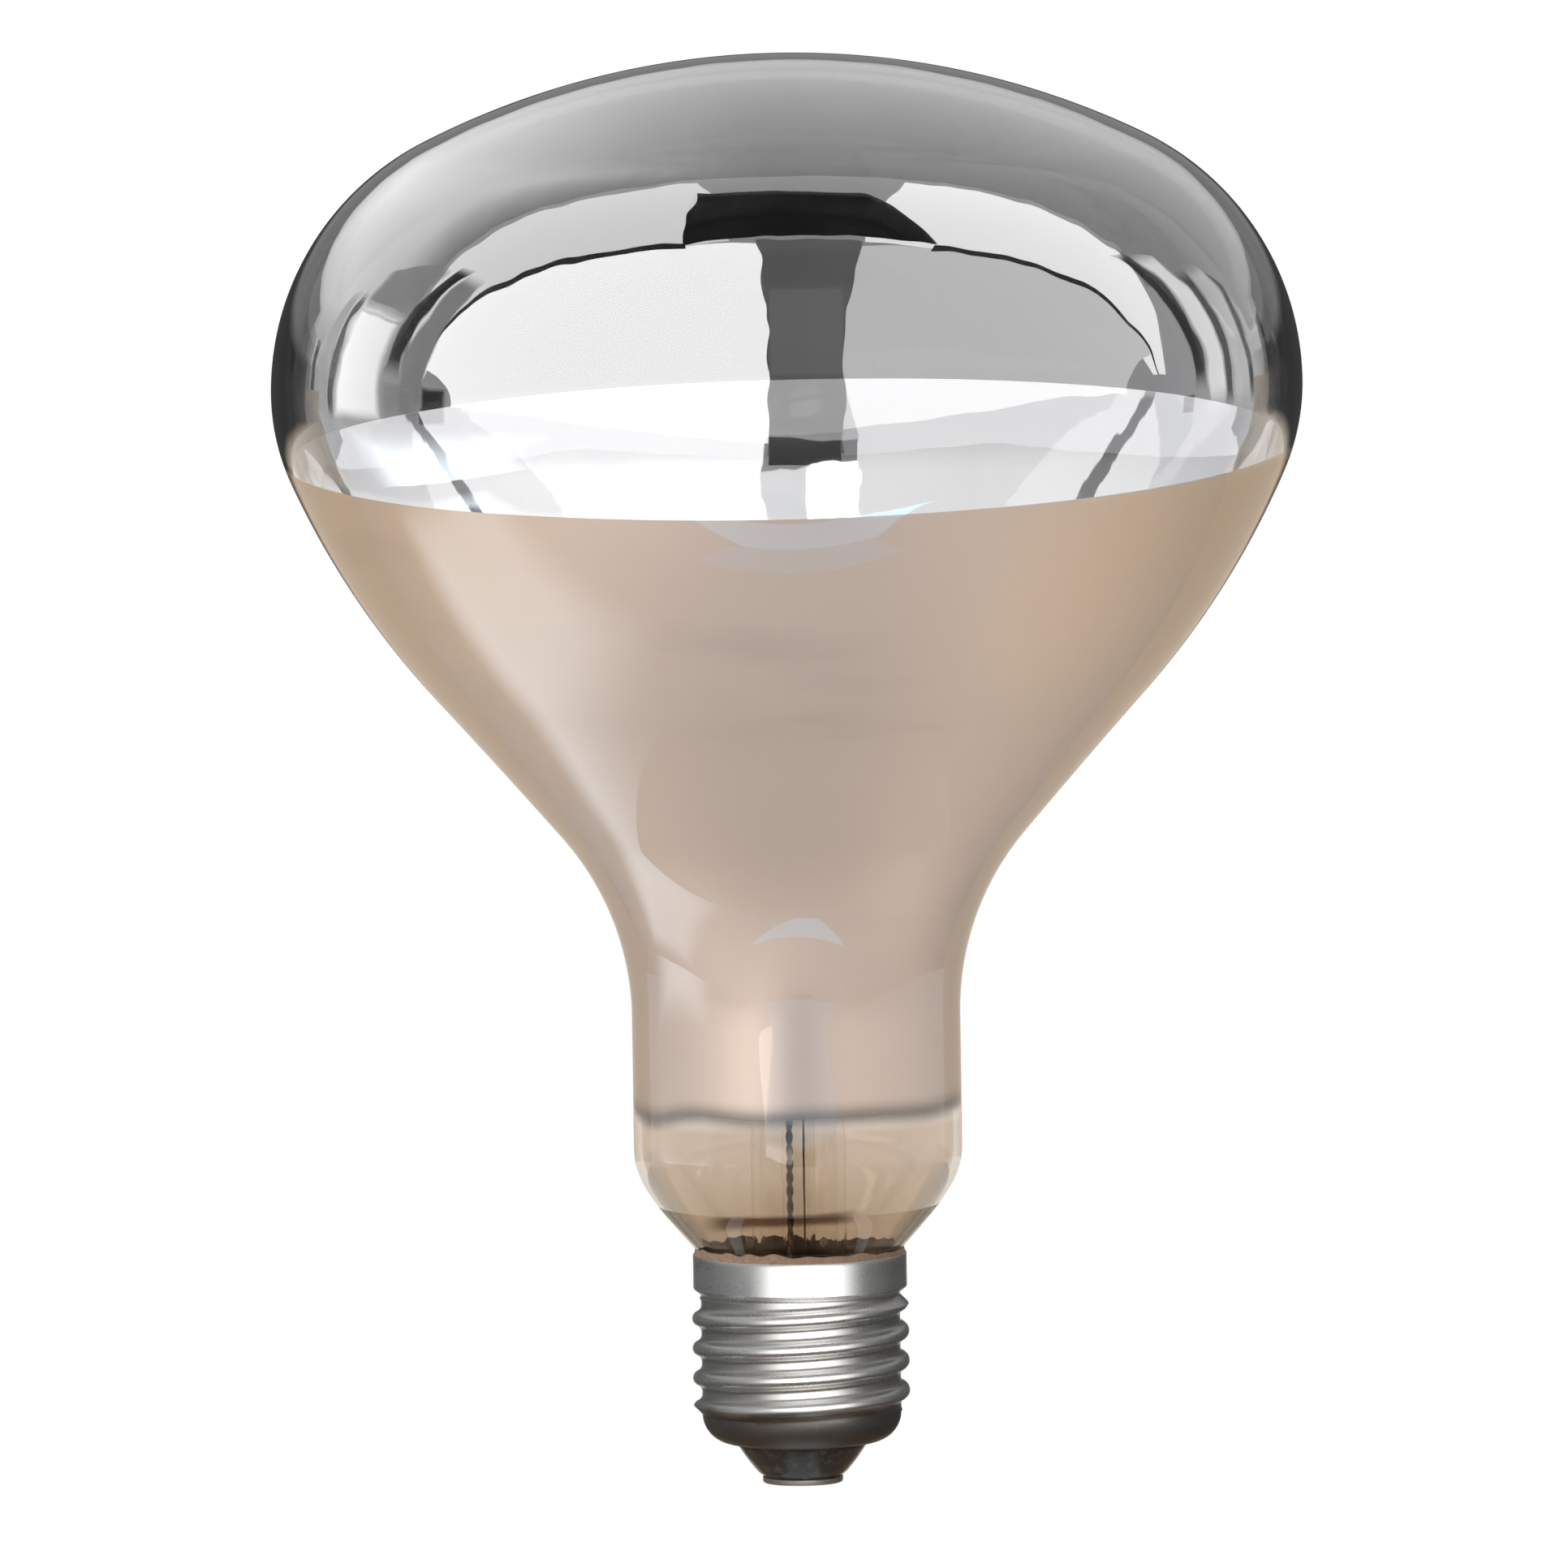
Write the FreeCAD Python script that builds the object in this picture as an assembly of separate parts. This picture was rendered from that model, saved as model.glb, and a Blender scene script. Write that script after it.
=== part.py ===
import FreeCAD, Part
import math
import os

# Infrared heat lamp: a blown reflector bulb with a clear face, a mirrored bowl and a screw cap.
# Millimetres. The origin is the middle of the contact's flat and +Z runs up the axis to the clear face.

# Glass envelope, outer outline
bulb_diameter = 125.0
equator_height = 134.0      # widest circle above the contact
face_height = 40.4          # clear face above the widest circle
face_bias = 0.9             # share of the shoulder in the face's two arcs
cone_diameter = 86.2        # where the bowl runs straightest
cone_height = 96.8
cone_angle = 41.9           # half angle there, from the axis
bowl_bias = 2.85            # share of the slow arc between cone and widest circle
throat_height = 57.6        # where the neck starts to open
throat_bias = 1.1           # share of the throat arc between neck and cone
neck_diameter = 39.9
neck_start_height = 41.5    # where the lower shoulder has turned into the neck
shoulder_diameter = 31.6    # a point on the lower shoulder's straight flank
shoulder_height = 32.8
shoulder_angle = 41.0       # flank of the lower shoulder, from the axis
neck_end_diameter = 21.4    # part of the neck that sits in the cap
neck_end_fillet = 5.0
seal_height = 20.0          # lower edge, melted to the stem's flare
glass_wall = 1.0

# Mirror film
mirror_top_height = 126.6   # middle of the upper edge
mirror_lean = 3.9           # the upper edge runs down to the front, in degrees
mirror_bottom_height = 46.0
film_thickness = 0.2

# Stem with its press, and the exhaust tube
mount_turn = 72.0           # plane of the leads, from +X
stem_diameter = 11.5
stem_wall = 1.0
stem_round_height = 46.0    # end of the round tube
stem_well_height = 49.0     # end of the hollow in the press
press_height = 53.0         # start of the flat press
press_top_height = 61.0
press_width = 13.0
press_thickness = 5.2
exhaust_diameter = 4.0
exhaust_wall = 0.8
exhaust_tip_height = 16.5
exhaust_port_diameter = 1.6
exhaust_port_length = 7.2
well_clearance = 0.2        # hollow of the press beside the exhaust tube
well_overlap = 0.1          # port starts this far down in the hollow

# Leads, filament and its supports
lead_offset = 3.35          # each lead from the axis
lead_joint_height = 51.5    # inner leads meet outer leads in the press
contact_lead_diameter = 0.9
contact_lead_bend = 1.2
contact_lead_corner = 2.2   # below the exhaust tip, where it leaves its own side
contact_lead_centre = 4.2   # below the exhaust tip, where it reaches the axis
rim_lead_diameter = 0.44
rim_lead_bend = 0.6
rim_lead_drop = 3.5         # below the sealed glass edge, where it turns outward
rim_lead_knee = 2.5         # below the rim, where it leans out along the shoulder
rim_lead_heel = 0.7         # below the rim, where it stands up again
rim_lead_stub = 0.1         # above the rim
inner_lead_diameter = 1.2
inner_lead_bend = 3.0
inner_lead_rise = 20.0      # straight run above the press
inner_lead_foot = 6.0       # upright run below the filament's tail
filament_height = 98.0
filament_ring_radius = 13.0
filament_coil_diameter = 1.6
filament_gap_angle = 60.0
filament_tail_diameter = 0.8
filament_tail_drop = 2.0
rod_diameter = 3.2
button_diameter = 5.6
button_height = 3.0
button_drop = 4.5           # button's middle below the filament
support_count = 5
support_wire_diameter = 0.5
support_clearance = 0.1

# Cap
rim_height = 28.5
collar_diameter = 26.0
collar_flare = 0.6          # height of the slope from thread root to collar
collar_length = 4.3
thread_diameter = 26.4
thread_root_diameter = 24.2
thread_pitch = 25.4 / 7.0
thread_root_flat = 0.3
thread_runout = 0.3         # plain root below the collar
thread_start_height = 4.3   # helix, before the rounded end cuts it off
thread_margin = 0.3         # trimming space outside the crests
shell_wall = 0.3
shell_end_radius = 3.6
shell_end_height = 5.4
shell_hole_diameter = 15.8
insulator_top_height = 10.2
insulator_nose_diameter = 9.8
insulator_skirt = 0.2       # black glass below the shell's hole
contact_diameter = 9.8
contact_thickness = 0.75
contact_edge_radius = 0.35
eyelet_diameter = 3.0
eyelet_bore = 1.7
eyelet_length = 10.2
solder_drop = 0.45          # solder dome below the contact plate
solder_diameter = 5.4
solder_flat_diameter = 3.4
solder_plug_length = 1.2
rim_solder_diameter = 1.5
cement_bottom_height = 21.0
cement_bead_height = 1.5    # bead above the rim
cement_bead_swell = 0.25

AXIS = FreeCAD.Vector(0, 0, 1)
ORIGIN = FreeCAD.Vector(0, 0, 0)
SEAM = 1e-4                 # tolerance where the thread is joined to the shell


def point(radius, height):
    """A point of a turned outline, drawn in the XZ plane."""
    return FreeCAD.Vector(radius, 0, height)


def slope(angle):
    """Unit direction that leans out from the axis by an angle in degrees."""
    lean = math.radians(angle)
    return point(math.sin(lean), math.cos(lean))


def outward(direction):
    """Outward normal of an outline that runs along a direction."""
    return point(direction.z, -direction.x)


def turn(edges):
    """Solid turned from a closed outline."""
    return Part.Face(Part.Wire(edges)).revolve(ORIGIN, AXIS, 360)


def polygon(points):
    """Straight edges through the points and back to the first."""
    ring = points + points[:1]
    return [Part.makeLine(a, b) for a, b in zip(ring, ring[1:])]


def cylinder(diameter, bottom, top):
    """Upright round bar on the axis."""
    return Part.makeCylinder(diameter / 2, top - bottom, point(0, bottom))


def arc_piece(start, along, end):
    """Arc from a start and its direction to an end, as three points with their outward normals."""
    normal = outward(along)
    chord = end - start
    bow = 2 * normal.dot(chord) / chord.dot(chord)
    if abs(bow) < 1e-9:
        middle = start + chord * 0.5
        return [(start, normal), (middle, normal), (end, normal)]
    centre = start + normal * (1 / bow)
    sense = 1 if bow > 0 else -1
    toward = (start + chord * 0.5 - centre).normalize()
    middle = centre + toward * (1 / abs(bow))
    pieces = []
    for place in (start, middle, end):
        pieces.append((place, (centre - place).normalize() * sense))
    return pieces


def two_arcs(start, leave, end, arrive, bias):
    """Two arcs that meet smoothly between two points with given directions."""
    chord = end - start
    a = 2 * bias * (leave.dot(arrive) - 1)
    b = -2 * chord.dot(leave * bias + arrive)
    c = chord.dot(chord)
    reach = (-b - math.sqrt(b * b - 4 * a * c)) / (2 * a)
    first = start + leave * (bias * reach)
    second = end - arrive * reach
    run = (second - first).normalize()
    joint = first + run * (bias * reach)
    return [arc_piece(start, leave, joint), arc_piece(joint, run, end)]


def envelope_pieces():
    """Outer outline of the glass from the sealed edge to the apex of the clear face."""
    end_radius = neck_end_diameter / 2
    flank = slope(shoulder_angle)
    flank_point = point(shoulder_diameter / 2, shoulder_height)
    corner_height = shoulder_height - (shoulder_diameter / 2 - end_radius) * flank.z / flank.x
    tangent = neck_end_fillet * math.tan(math.radians(shoulder_angle / 2))
    fillet_start = point(end_radius, corner_height - tangent)
    fillet_end = point(end_radius, corner_height) + flank * tangent
    neck_start = point(neck_diameter / 2, neck_start_height)
    throat = point(neck_diameter / 2, throat_height)
    cone = point(cone_diameter / 2, cone_height)
    equator = point(bulb_diameter / 2, equator_height)
    apex = point(0, equator_height + face_height)
    pieces = [arc_piece(point(end_radius, seal_height), AXIS, fillet_start)]
    pieces.append(arc_piece(fillet_start, AXIS, fillet_end))
    pieces.append(arc_piece(fillet_end, flank, flank_point))
    pieces += two_arcs(flank_point, flank, neck_start, AXIS, 1.0)
    pieces.append(arc_piece(neck_start, AXIS, throat))
    pieces += two_arcs(throat, AXIS, cone, slope(cone_angle), throat_bias)
    pieces += two_arcs(cone, slope(cone_angle), equator, AXIS, bowl_bias)
    pieces += two_arcs(equator, AXIS, apex, slope(-90), face_bias)
    return pieces


def inset_edges(pieces, inset):
    """Edges of an outline moved inward by a wall."""
    edges = []
    for piece in pieces:
        a, b, c = [place - normal * inset for place, normal in piece]
        straight = (b - a).cross(c - a).Length < 1e-7
        edges.append(Part.makeLine(a, c) if straight else Part.Arc(a, b, c).toShape())
    return edges


def filled_envelope(inset):
    """Solid inside the outline, moved inward by a wall."""
    edges = inset_edges(envelope_pieces(), inset)
    low = edges[0].Vertexes[0].Point
    high = edges[-1].Vertexes[-1].Point
    foot = point(0, low.z)
    edges.append(Part.makeLine(high, foot))
    edges.append(Part.makeLine(foot, low))
    return turn(edges)


def glass_envelope():
    """Blown bulb, open only at the sealed lower edge."""
    return filled_envelope(0).cut(filled_envelope(glass_wall))


def mirror_coating():
    """Film on the inner face of bowl and neck, up to an edge that leans to the front."""
    film = filled_envelope(glass_wall).cut(filled_envelope(glass_wall + film_thickness))
    below = cylinder(2 * bulb_diameter, -bulb_diameter, mirror_top_height)
    below.rotate(point(0, mirror_top_height), FreeCAD.Vector(1, 0, 0), mirror_lean)
    above = cylinder(2 * bulb_diameter, mirror_bottom_height, 2 * mirror_top_height)
    return film.common(below).common(above)


def on_mount(shape):
    """Turn a shape drawn with its leads along X into the mount's plane."""
    shape.rotate(ORIGIN, AXIS, mount_turn)
    return shape


def bent_wire(points, diameter, bend):
    """Round wire along straight runs joined by bends of one radius."""
    edges = []
    last = points[0]
    for before, corner, after in zip(points, points[1:], points[2:]):
        entry = (before - corner).normalize()
        leave = (after - corner).normalize()
        half = entry.getAngle(leave) / 2
        setback = bend / math.tan(half)
        start = corner + entry * setback
        end = corner + leave * setback
        inner = (entry + leave).normalize()
        middle = corner + inner * (bend / math.sin(half) - bend)
        edges.append(Part.makeLine(last, start))
        edges.append(Part.Arc(start, middle, end).toShape())
        last = end
    edges.append(Part.makeLine(last, points[-1]))
    run = (points[1] - points[0]).normalize()
    ring = Part.Wire(Part.makeCircle(diameter / 2, points[0], run))
    return Part.Wire(edges).makePipeShell([ring], True, True)


def contact_lead():
    """Thick lead from the press down the stem, bent to the axis and into the eyelet."""
    end = solder_drop + solder_plug_length
    path = [point(-lead_offset, lead_joint_height)]
    path.append(point(-lead_offset, exhaust_tip_height - contact_lead_corner))
    path.append(point(0, exhaust_tip_height - contact_lead_centre))
    path.append(point(0, end))
    return on_mount(bent_wire(path, contact_lead_diameter, contact_lead_bend))


def rim_lead():
    """Thin lead from the press down the stem, round the glass edge and up to the rim."""
    gap_radius = (neck_end_diameter / 2 + thread_root_diameter / 2 - shell_wall) / 2
    rim_radius = (rim_glass_radius() + collar_diameter / 2 - shell_wall) / 2
    low = seal_height - rim_lead_drop
    path = [point(lead_offset, lead_joint_height), point(lead_offset, low), point(gap_radius, low)]
    path += [point(gap_radius, rim_height - rim_lead_knee), point(rim_radius, rim_height - rim_lead_heel)]
    path.append(point(rim_radius, rim_height + rim_lead_stub))
    return on_mount(bent_wire(path, rim_lead_diameter, rim_lead_bend))


def rim_glass_radius():
    """Radius of the glass at the height of the rim."""
    flank = slope(shoulder_angle)
    return shoulder_diameter / 2 - (shoulder_height - rim_height) * flank.x / flank.z


def ring_point(radius, angle, height):
    """A point round the axis at an angle from the leads' plane."""
    turned = math.radians(angle)
    return FreeCAD.Vector(radius * math.cos(turned), radius * math.sin(turned), height)


def lead_angles():
    """Angles of the filament's two ends, beside the gap that faces across the leads."""
    return 90 - filament_gap_angle / 2, 90 + filament_gap_angle / 2


def inner_lead(side, angle):
    """Stout lead from the joint in the press to one end of the filament."""
    top = filament_height - filament_tail_drop
    path = [point(side * lead_offset, lead_joint_height)]
    path.append(point(side * lead_offset, press_top_height + inner_lead_rise))
    path.append(ring_point(filament_ring_radius, angle, top - inner_lead_foot))
    path.append(ring_point(filament_ring_radius, angle, top))
    return on_mount(bent_wire(path, inner_lead_diameter, inner_lead_bend))


def filament():
    """Coil body bent to an open ring, with a tail down to each lead."""
    first, last = lead_angles()
    start = ring_point(filament_ring_radius, last, filament_height)
    section = Part.makeCircle(filament_coil_diameter / 2, start, ring_point(1, last + 90, 0))
    body = Part.Face(Part.Wire(section)).revolve(ORIGIN, AXIS, 360 - (last - first))
    for angle in (first, last):
        foot = ring_point(filament_ring_radius, angle, filament_height - filament_tail_drop)
        body = body.fuse(Part.makeCylinder(filament_tail_diameter / 2, filament_tail_drop, foot))
        bead = ring_point(filament_ring_radius, angle, filament_height)
        body = body.fuse(Part.makeSphere(filament_coil_diameter / 2, bead))
    return on_mount(body.removeSplitter())


def support_angles():
    """Angles of the supports, evenly along the filament."""
    first, last = lead_angles()
    step = (360 - (last - first)) / (support_count + 1)
    return [last + step * (index + 1) for index in range(support_count)]


def filament_supports():
    """Fine wires from the button, each ending in an eye round the coil."""
    eye_radius = filament_coil_diameter / 2 + support_clearance + support_wire_diameter / 2
    wires = []
    for angle in support_angles():
        eye = ring_point(filament_ring_radius, angle, filament_height)
        ring = Part.makeTorus(eye_radius, support_wire_diameter / 2, eye, ring_point(1, angle + 90, 0))
        start = ring_point(button_diameter / 4, angle, filament_height - button_drop)
        run = eye - start
        length = run.Length - eye_radius
        bar = Part.makeCylinder(support_wire_diameter / 2, length, start, run)
        wires.append(on_mount(ring.fuse(bar)))
    return wires


def mount_rod(wires):
    """Glass rod on the press with a button that holds the support wires."""
    middle = filament_height - button_drop
    low = middle - button_height / 2
    high = middle + button_height / 2
    radius = rod_diameter / 2
    bulge = point(button_diameter / 2, middle)
    edges = [Part.makeLine(point(0, press_top_height), point(radius, press_top_height))]
    edges.append(Part.makeLine(point(radius, press_top_height), point(radius, low)))
    edges.append(Part.Arc(point(radius, low), bulge, point(radius, high)).toShape())
    edges.append(Part.makeLine(point(radius, high), point(0, high)))
    edges.append(Part.makeLine(point(0, high), point(0, press_top_height)))
    rod = turn(edges)
    for wire in wires:
        rod = rod.cut(wire)
    return rod


def oval(width, depth, height):
    """Flat oval section across the axis."""
    ring = Part.Ellipse(point(0, height), width / 2, depth / 2)
    return Part.Wire(ring.toShape())


def round_section(diameter, height):
    """Round section across the axis, with its seam on the same side as the oval's."""
    return Part.Wire(Part.makeCircle(diameter / 2, point(0, height)))


def stem(leads):
    """Flare, tube and flat press as one glass piece, bored for the leads."""
    outer = stem_diameter / 2
    inner = outer - stem_wall
    rim = neck_end_diameter / 2
    mouth = rim - glass_wall
    bend = mouth - outer
    turn_height = seal_height + bend
    low = seal_height - stem_wall
    half = math.sqrt(0.5)
    edges = [Part.makeLine(point(outer, stem_round_height), point(outer, turn_height))]
    upper = point(mouth - bend * half, turn_height - bend * half)
    edges.append(Part.Arc(point(outer, turn_height), upper, point(mouth, seal_height)).toShape())
    edges.append(Part.makeLine(point(mouth, seal_height), point(rim, seal_height)))
    edges.append(Part.makeLine(point(rim, seal_height), point(rim, low)))
    edges.append(Part.makeLine(point(rim, low), point(mouth, low)))
    reach = bend + stem_wall
    lower = point(mouth - reach * half, turn_height - reach * half)
    edges.append(Part.Arc(point(mouth, low), lower, point(inner, turn_height)).toShape())
    edges.append(Part.makeLine(point(inner, turn_height), point(inner, stem_round_height)))
    edges.append(Part.makeLine(point(inner, stem_round_height), point(outer, stem_round_height)))
    tube = turn(edges)
    press = oval(press_width, press_thickness, press_height)
    closing = Part.makeLoft([round_section(stem_diameter, stem_round_height), press], True)
    well_top = oval(2 * inner, exhaust_diameter + well_clearance, stem_well_height)
    well = Part.makeLoft([round_section(2 * inner, stem_round_height), well_top], True)
    flat = Part.Face(press)
    flat = flat.extrude(point(0, press_top_height - press_height))
    glass = tube.fuse([closing.cut(well), flat]).removeSplitter()
    port_foot = point(0, stem_well_height - well_overlap)
    port_run = FreeCAD.Vector(0, 1, 1)
    port = Part.makeCylinder(exhaust_port_diameter / 2, exhaust_port_length, port_foot, port_run)
    glass = on_mount(glass.cut(port))
    for lead in leads:
        glass = glass.cut(lead)
    return glass


def exhaust_tube():
    """Thin tube from the well of the press to its rounded tip in the cap."""
    outer = exhaust_diameter / 2
    inner = outer - exhaust_wall
    centre = exhaust_tip_height + outer
    tip = Part.makeSphere(outer, point(0, centre))
    hollow = Part.makeSphere(inner, point(0, centre))
    body = cylinder(2 * outer, centre, stem_well_height).fuse(tip)
    bore = cylinder(2 * inner, centre, stem_well_height).fuse(hollow)
    return body.removeSplitter().cut(bore.removeSplitter())


def thread_ridge():
    """Rounded screw thread of equal crest and root arcs, swept along a right-hand helix."""
    root = thread_root_diameter / 2
    crest = thread_diameter / 2
    depth = crest - root
    half = (thread_pitch - thread_root_flat) / 2
    radius = (half * half + depth * depth) / (4 * depth)
    sweep = math.asin(half / 2 / radius) / 2
    base = root - shell_wall / 2
    rise = radius * math.sin(sweep)
    bow = radius * (1 - math.cos(sweep))
    flank = root + depth / 2
    upper = point(root + bow, half - rise)
    lower = point(root + bow, rise - half)
    edges = [Part.makeLine(point(base, half), point(root, half))]
    edges.append(Part.Arc(point(root, half), upper, point(flank, half / 2)).toShape())
    edges.append(Part.Arc(point(flank, half / 2), point(crest, 0), point(flank, -half / 2)).toShape())
    edges.append(Part.Arc(point(flank, -half / 2), lower, point(root, -half)).toShape())
    edges.append(Part.makeLine(point(root, -half), point(base, -half)))
    edges.append(Part.makeLine(point(base, -half), point(base, half)))
    length = rim_height - collar_length - thread_start_height
    helix = Part.Wire(Part.makeHelix(thread_pitch, length, root))
    ridge = helix.makePipeShell([Part.Wire(edges)], True, True)
    ridge.translate(point(0, thread_start_height))
    return ridge


def thread_bounds():
    """Turned space that ends the thread in a run-out at the collar and at the rounded end."""
    root = thread_root_diameter / 2
    core = root - shell_wall
    wide = thread_diameter / 2 + thread_margin
    top = rim_height - collar_length - collar_flare - thread_runout
    low = shell_end_height + shell_end_radius
    outline = [point(core, low), point(root, low), point(wide, low + wide - root)]
    outline += [point(wide, top - wide + root), point(root, top), point(core, top)]
    return turn(polygon(outline))


def shell_end_edges(inset):
    """Rounded lower end of the shell from its hole to the plain root."""
    root = thread_root_diameter / 2
    centre = point(root - shell_end_radius, shell_end_height + shell_end_radius)
    radius = shell_end_radius - inset
    middle = centre + slope(135) * radius
    low = centre + point(0, -radius)
    start = point(shell_hole_diameter / 2, low.z)
    end = centre + point(radius, 0)
    return [Part.makeLine(start, low), Part.Arc(low, middle, end).toShape()]


def cap_shell():
    """Sheet shell with collar, screw thread and rounded end."""
    root = thread_root_diameter / 2
    collar = collar_diameter / 2
    step = rim_height - collar_length
    start = shell_end_height + shell_end_radius
    edges = shell_end_edges(0)
    outer = [point(root, start), point(root, step - collar_flare)]
    outer += [point(collar, step), point(collar, rim_height)]
    inner = [point(collar - shell_wall, rim_height), point(collar - shell_wall, step + shell_wall)]
    inner += [point(root - shell_wall, step + shell_wall), point(root - shell_wall, start)]
    path = outer + inner
    edges += [Part.makeLine(a, b) for a, b in zip(path, path[1:])]
    edges += shell_end_edges(shell_wall)
    lip = point(shell_hole_diameter / 2, shell_end_height)
    edges.append(Part.makeLine(lip, lip + point(0, shell_wall)))
    body = turn(Part.__sortEdges__(edges))
    ridge = thread_ridge().common((thread_bounds(),), SEAM)
    return body.fuse((ridge,), SEAM).removeSplitter().Solids[0]


def cap_insulator():
    """Black glass that fills the shell's end and narrows to the contact."""
    hole = shell_hole_diameter / 2
    nose = solder_drop + contact_thickness
    bore = eyelet_diameter / 2
    inside = thread_root_diameter / 2 - shell_wall
    start = shell_end_height + shell_end_radius
    path = [point(inside, start), point(inside, insulator_top_height), point(bore, insulator_top_height)]
    path += [point(bore, nose), point(insulator_nose_diameter / 2, nose)]
    path += [point(hole, shell_end_height - insulator_skirt), point(hole, shell_end_height + shell_wall)]
    edges = [Part.makeLine(a, b) for a, b in zip(path, path[1:])]
    edges += shell_end_edges(shell_wall)
    return turn(Part.__sortEdges__(edges))


def centre_contact():
    """Contact plate with a rolled edge and the eyelet that passes through the insulator."""
    low = solder_drop
    top = low + contact_thickness
    outer = contact_diameter / 2
    soft = contact_edge_radius
    bore = eyelet_bore / 2
    tube = eyelet_diameter / 2
    half = soft * math.sqrt(0.5)
    head = top + eyelet_length
    edges = [Part.makeLine(point(bore, low), point(outer - soft, low))]
    bend = point(outer - soft + half, low + soft - half)
    edges.append(Part.Arc(point(outer - soft, low), bend, point(outer, low + soft)).toShape())
    path = [point(outer, low + soft), point(outer, top), point(tube, top)]
    path += [point(tube, head), point(bore, head), point(bore, low)]
    edges += [Part.makeLine(a, b) for a, b in zip(path, path[1:])]
    return turn(edges)


def contact_solder():
    """Low solder dome with a flat tip, and its plug in the eyelet."""
    outer = solder_diameter / 2
    flat = solder_flat_diameter / 2
    bore = eyelet_bore / 2
    top = solder_drop + solder_plug_length
    bulge = point((outer + flat) / 2 + solder_drop / 4, solder_drop / 2 - solder_drop / 8)
    edges = [Part.makeLine(point(0, 0), point(flat, 0))]
    edges.append(Part.Arc(point(flat, 0), bulge, point(outer, solder_drop)).toShape())
    path = [point(outer, solder_drop), point(bore, solder_drop), point(bore, top)]
    path += [point(0, top), point(0, 0)]
    edges += [Part.makeLine(a, b) for a, b in zip(path, path[1:])]
    return turn(edges)


def rim_solder(shell, lead):
    """Small solder drop that joins the thin lead to the rim."""
    radius = (rim_glass_radius() + collar_diameter / 2 - shell_wall) / 2
    drop = Part.makeSphere(rim_solder_diameter / 2, point(radius, rim_height))
    return on_mount(drop).cut(filled_envelope(0)).cut(shell).cut(lead)


def basing_cement(lead, drop):
    """Cement between glass and shell, with a bead that fills the wedge above the rim."""
    inside = neck_end_diameter / 2 - glass_wall
    lower = thread_root_diameter / 2 - shell_wall
    upper = collar_diameter / 2 - shell_wall
    step = rim_height - collar_length + shell_wall
    edge = collar_diameter / 2 - shell_wall / 2
    top = rim_height + cement_bead_height
    path = [point(inside, top), point(inside, cement_bottom_height), point(lower, cement_bottom_height)]
    path += [point(lower, step), point(upper, step), point(upper, rim_height), point(edge, rim_height)]
    edges = [Part.makeLine(a, b) for a, b in zip(path, path[1:])]
    lip = point(edge + cement_bead_height / 2, top)
    swell = point((edge + lip.x) / 2 + cement_bead_swell, rim_height + cement_bead_height / 2)
    edges.append(Part.Arc(point(edge, rim_height), swell, lip).toShape())
    edges.append(Part.makeLine(lip, point(inside, top)))
    return turn(edges).cut(filled_envelope(0)).cut(lead).cut(drop)


def build():
    """Every piece of the lamp by its node name."""
    first, last = lead_angles()
    contact_wire = contact_lead()
    rim_wire = rim_lead()
    back = inner_lead(1, first)
    front = inner_lead(-1, last)
    wires = filament_supports()
    shell = cap_shell()
    drop = rim_solder(shell, rim_wire)
    return {
        "glass_envelope": glass_envelope(),
        "mirror_coating": mirror_coating(),
        "stem": stem([contact_wire, rim_wire, back, front]),
        "exhaust_tube": exhaust_tube(),
        "mount_rod": mount_rod(wires),
        "filament_supports": Part.makeCompound(wires),
        "filament": filament(),
        "inner_lead_front": front,
        "inner_lead_back": back,
        "outer_lead_contact": contact_wire,
        "outer_lead_rim": rim_wire,
        "cap_shell": shell,
        "cap_insulator": cap_insulator(),
        "centre_contact": centre_contact(),
        "contact_solder": contact_solder(),
        "rim_solder": drop,
        "basing_cement": basing_cement(rim_wire, drop),
    }


os.makedirs("parts", exist_ok=True)
for name, shape in build().items():
    shape.exportStep("parts/" + name + ".step")
    print(name, shape.isValid(), len(shape.Solids), round(shape.Volume, 2), shape.BoundBox)
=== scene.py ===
import logging
import math
from collections.abc import Iterator
from dataclasses import dataclass, field
from enum import Enum
from typing import NamedTuple, Optional, Sequence, Union

import bmesh
import bpy
import numpy as np
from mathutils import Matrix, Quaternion, Vector


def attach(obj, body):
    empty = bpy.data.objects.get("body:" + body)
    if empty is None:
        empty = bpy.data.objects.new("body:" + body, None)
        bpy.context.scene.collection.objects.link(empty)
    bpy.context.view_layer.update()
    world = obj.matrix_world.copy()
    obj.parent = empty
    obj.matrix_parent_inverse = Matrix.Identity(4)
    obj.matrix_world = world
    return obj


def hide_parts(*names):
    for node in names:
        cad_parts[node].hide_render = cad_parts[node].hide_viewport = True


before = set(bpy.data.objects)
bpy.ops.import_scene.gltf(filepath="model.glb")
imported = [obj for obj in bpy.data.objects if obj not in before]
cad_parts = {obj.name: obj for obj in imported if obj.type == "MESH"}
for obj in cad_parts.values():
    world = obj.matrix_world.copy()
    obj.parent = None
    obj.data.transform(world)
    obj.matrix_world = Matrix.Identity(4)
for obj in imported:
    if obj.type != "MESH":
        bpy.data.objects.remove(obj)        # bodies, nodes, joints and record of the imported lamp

# Infrared heat lamp: a blown bulb with a clear face, a mirrored bowl, a clear neck band and a screw cap.
# Meshes are worked out in millimetres about the lamp's axis and stored in metres.
# Finishes give places in metres and the depth of a relief in millimetres.

LOG = logging.getLogger("heat_lamp")
MM = 0.001
BODY = "root"
WHITE = (1.0, 1.0, 1.0)
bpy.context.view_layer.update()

Colour = tuple[float, float, float]
Span = tuple[float, float]
Edge = tuple[float, float, float]
Point = tuple[float, float, float]
Corners = tuple[Point, ...]
Input = Union["Signal", float, tuple]


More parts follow.
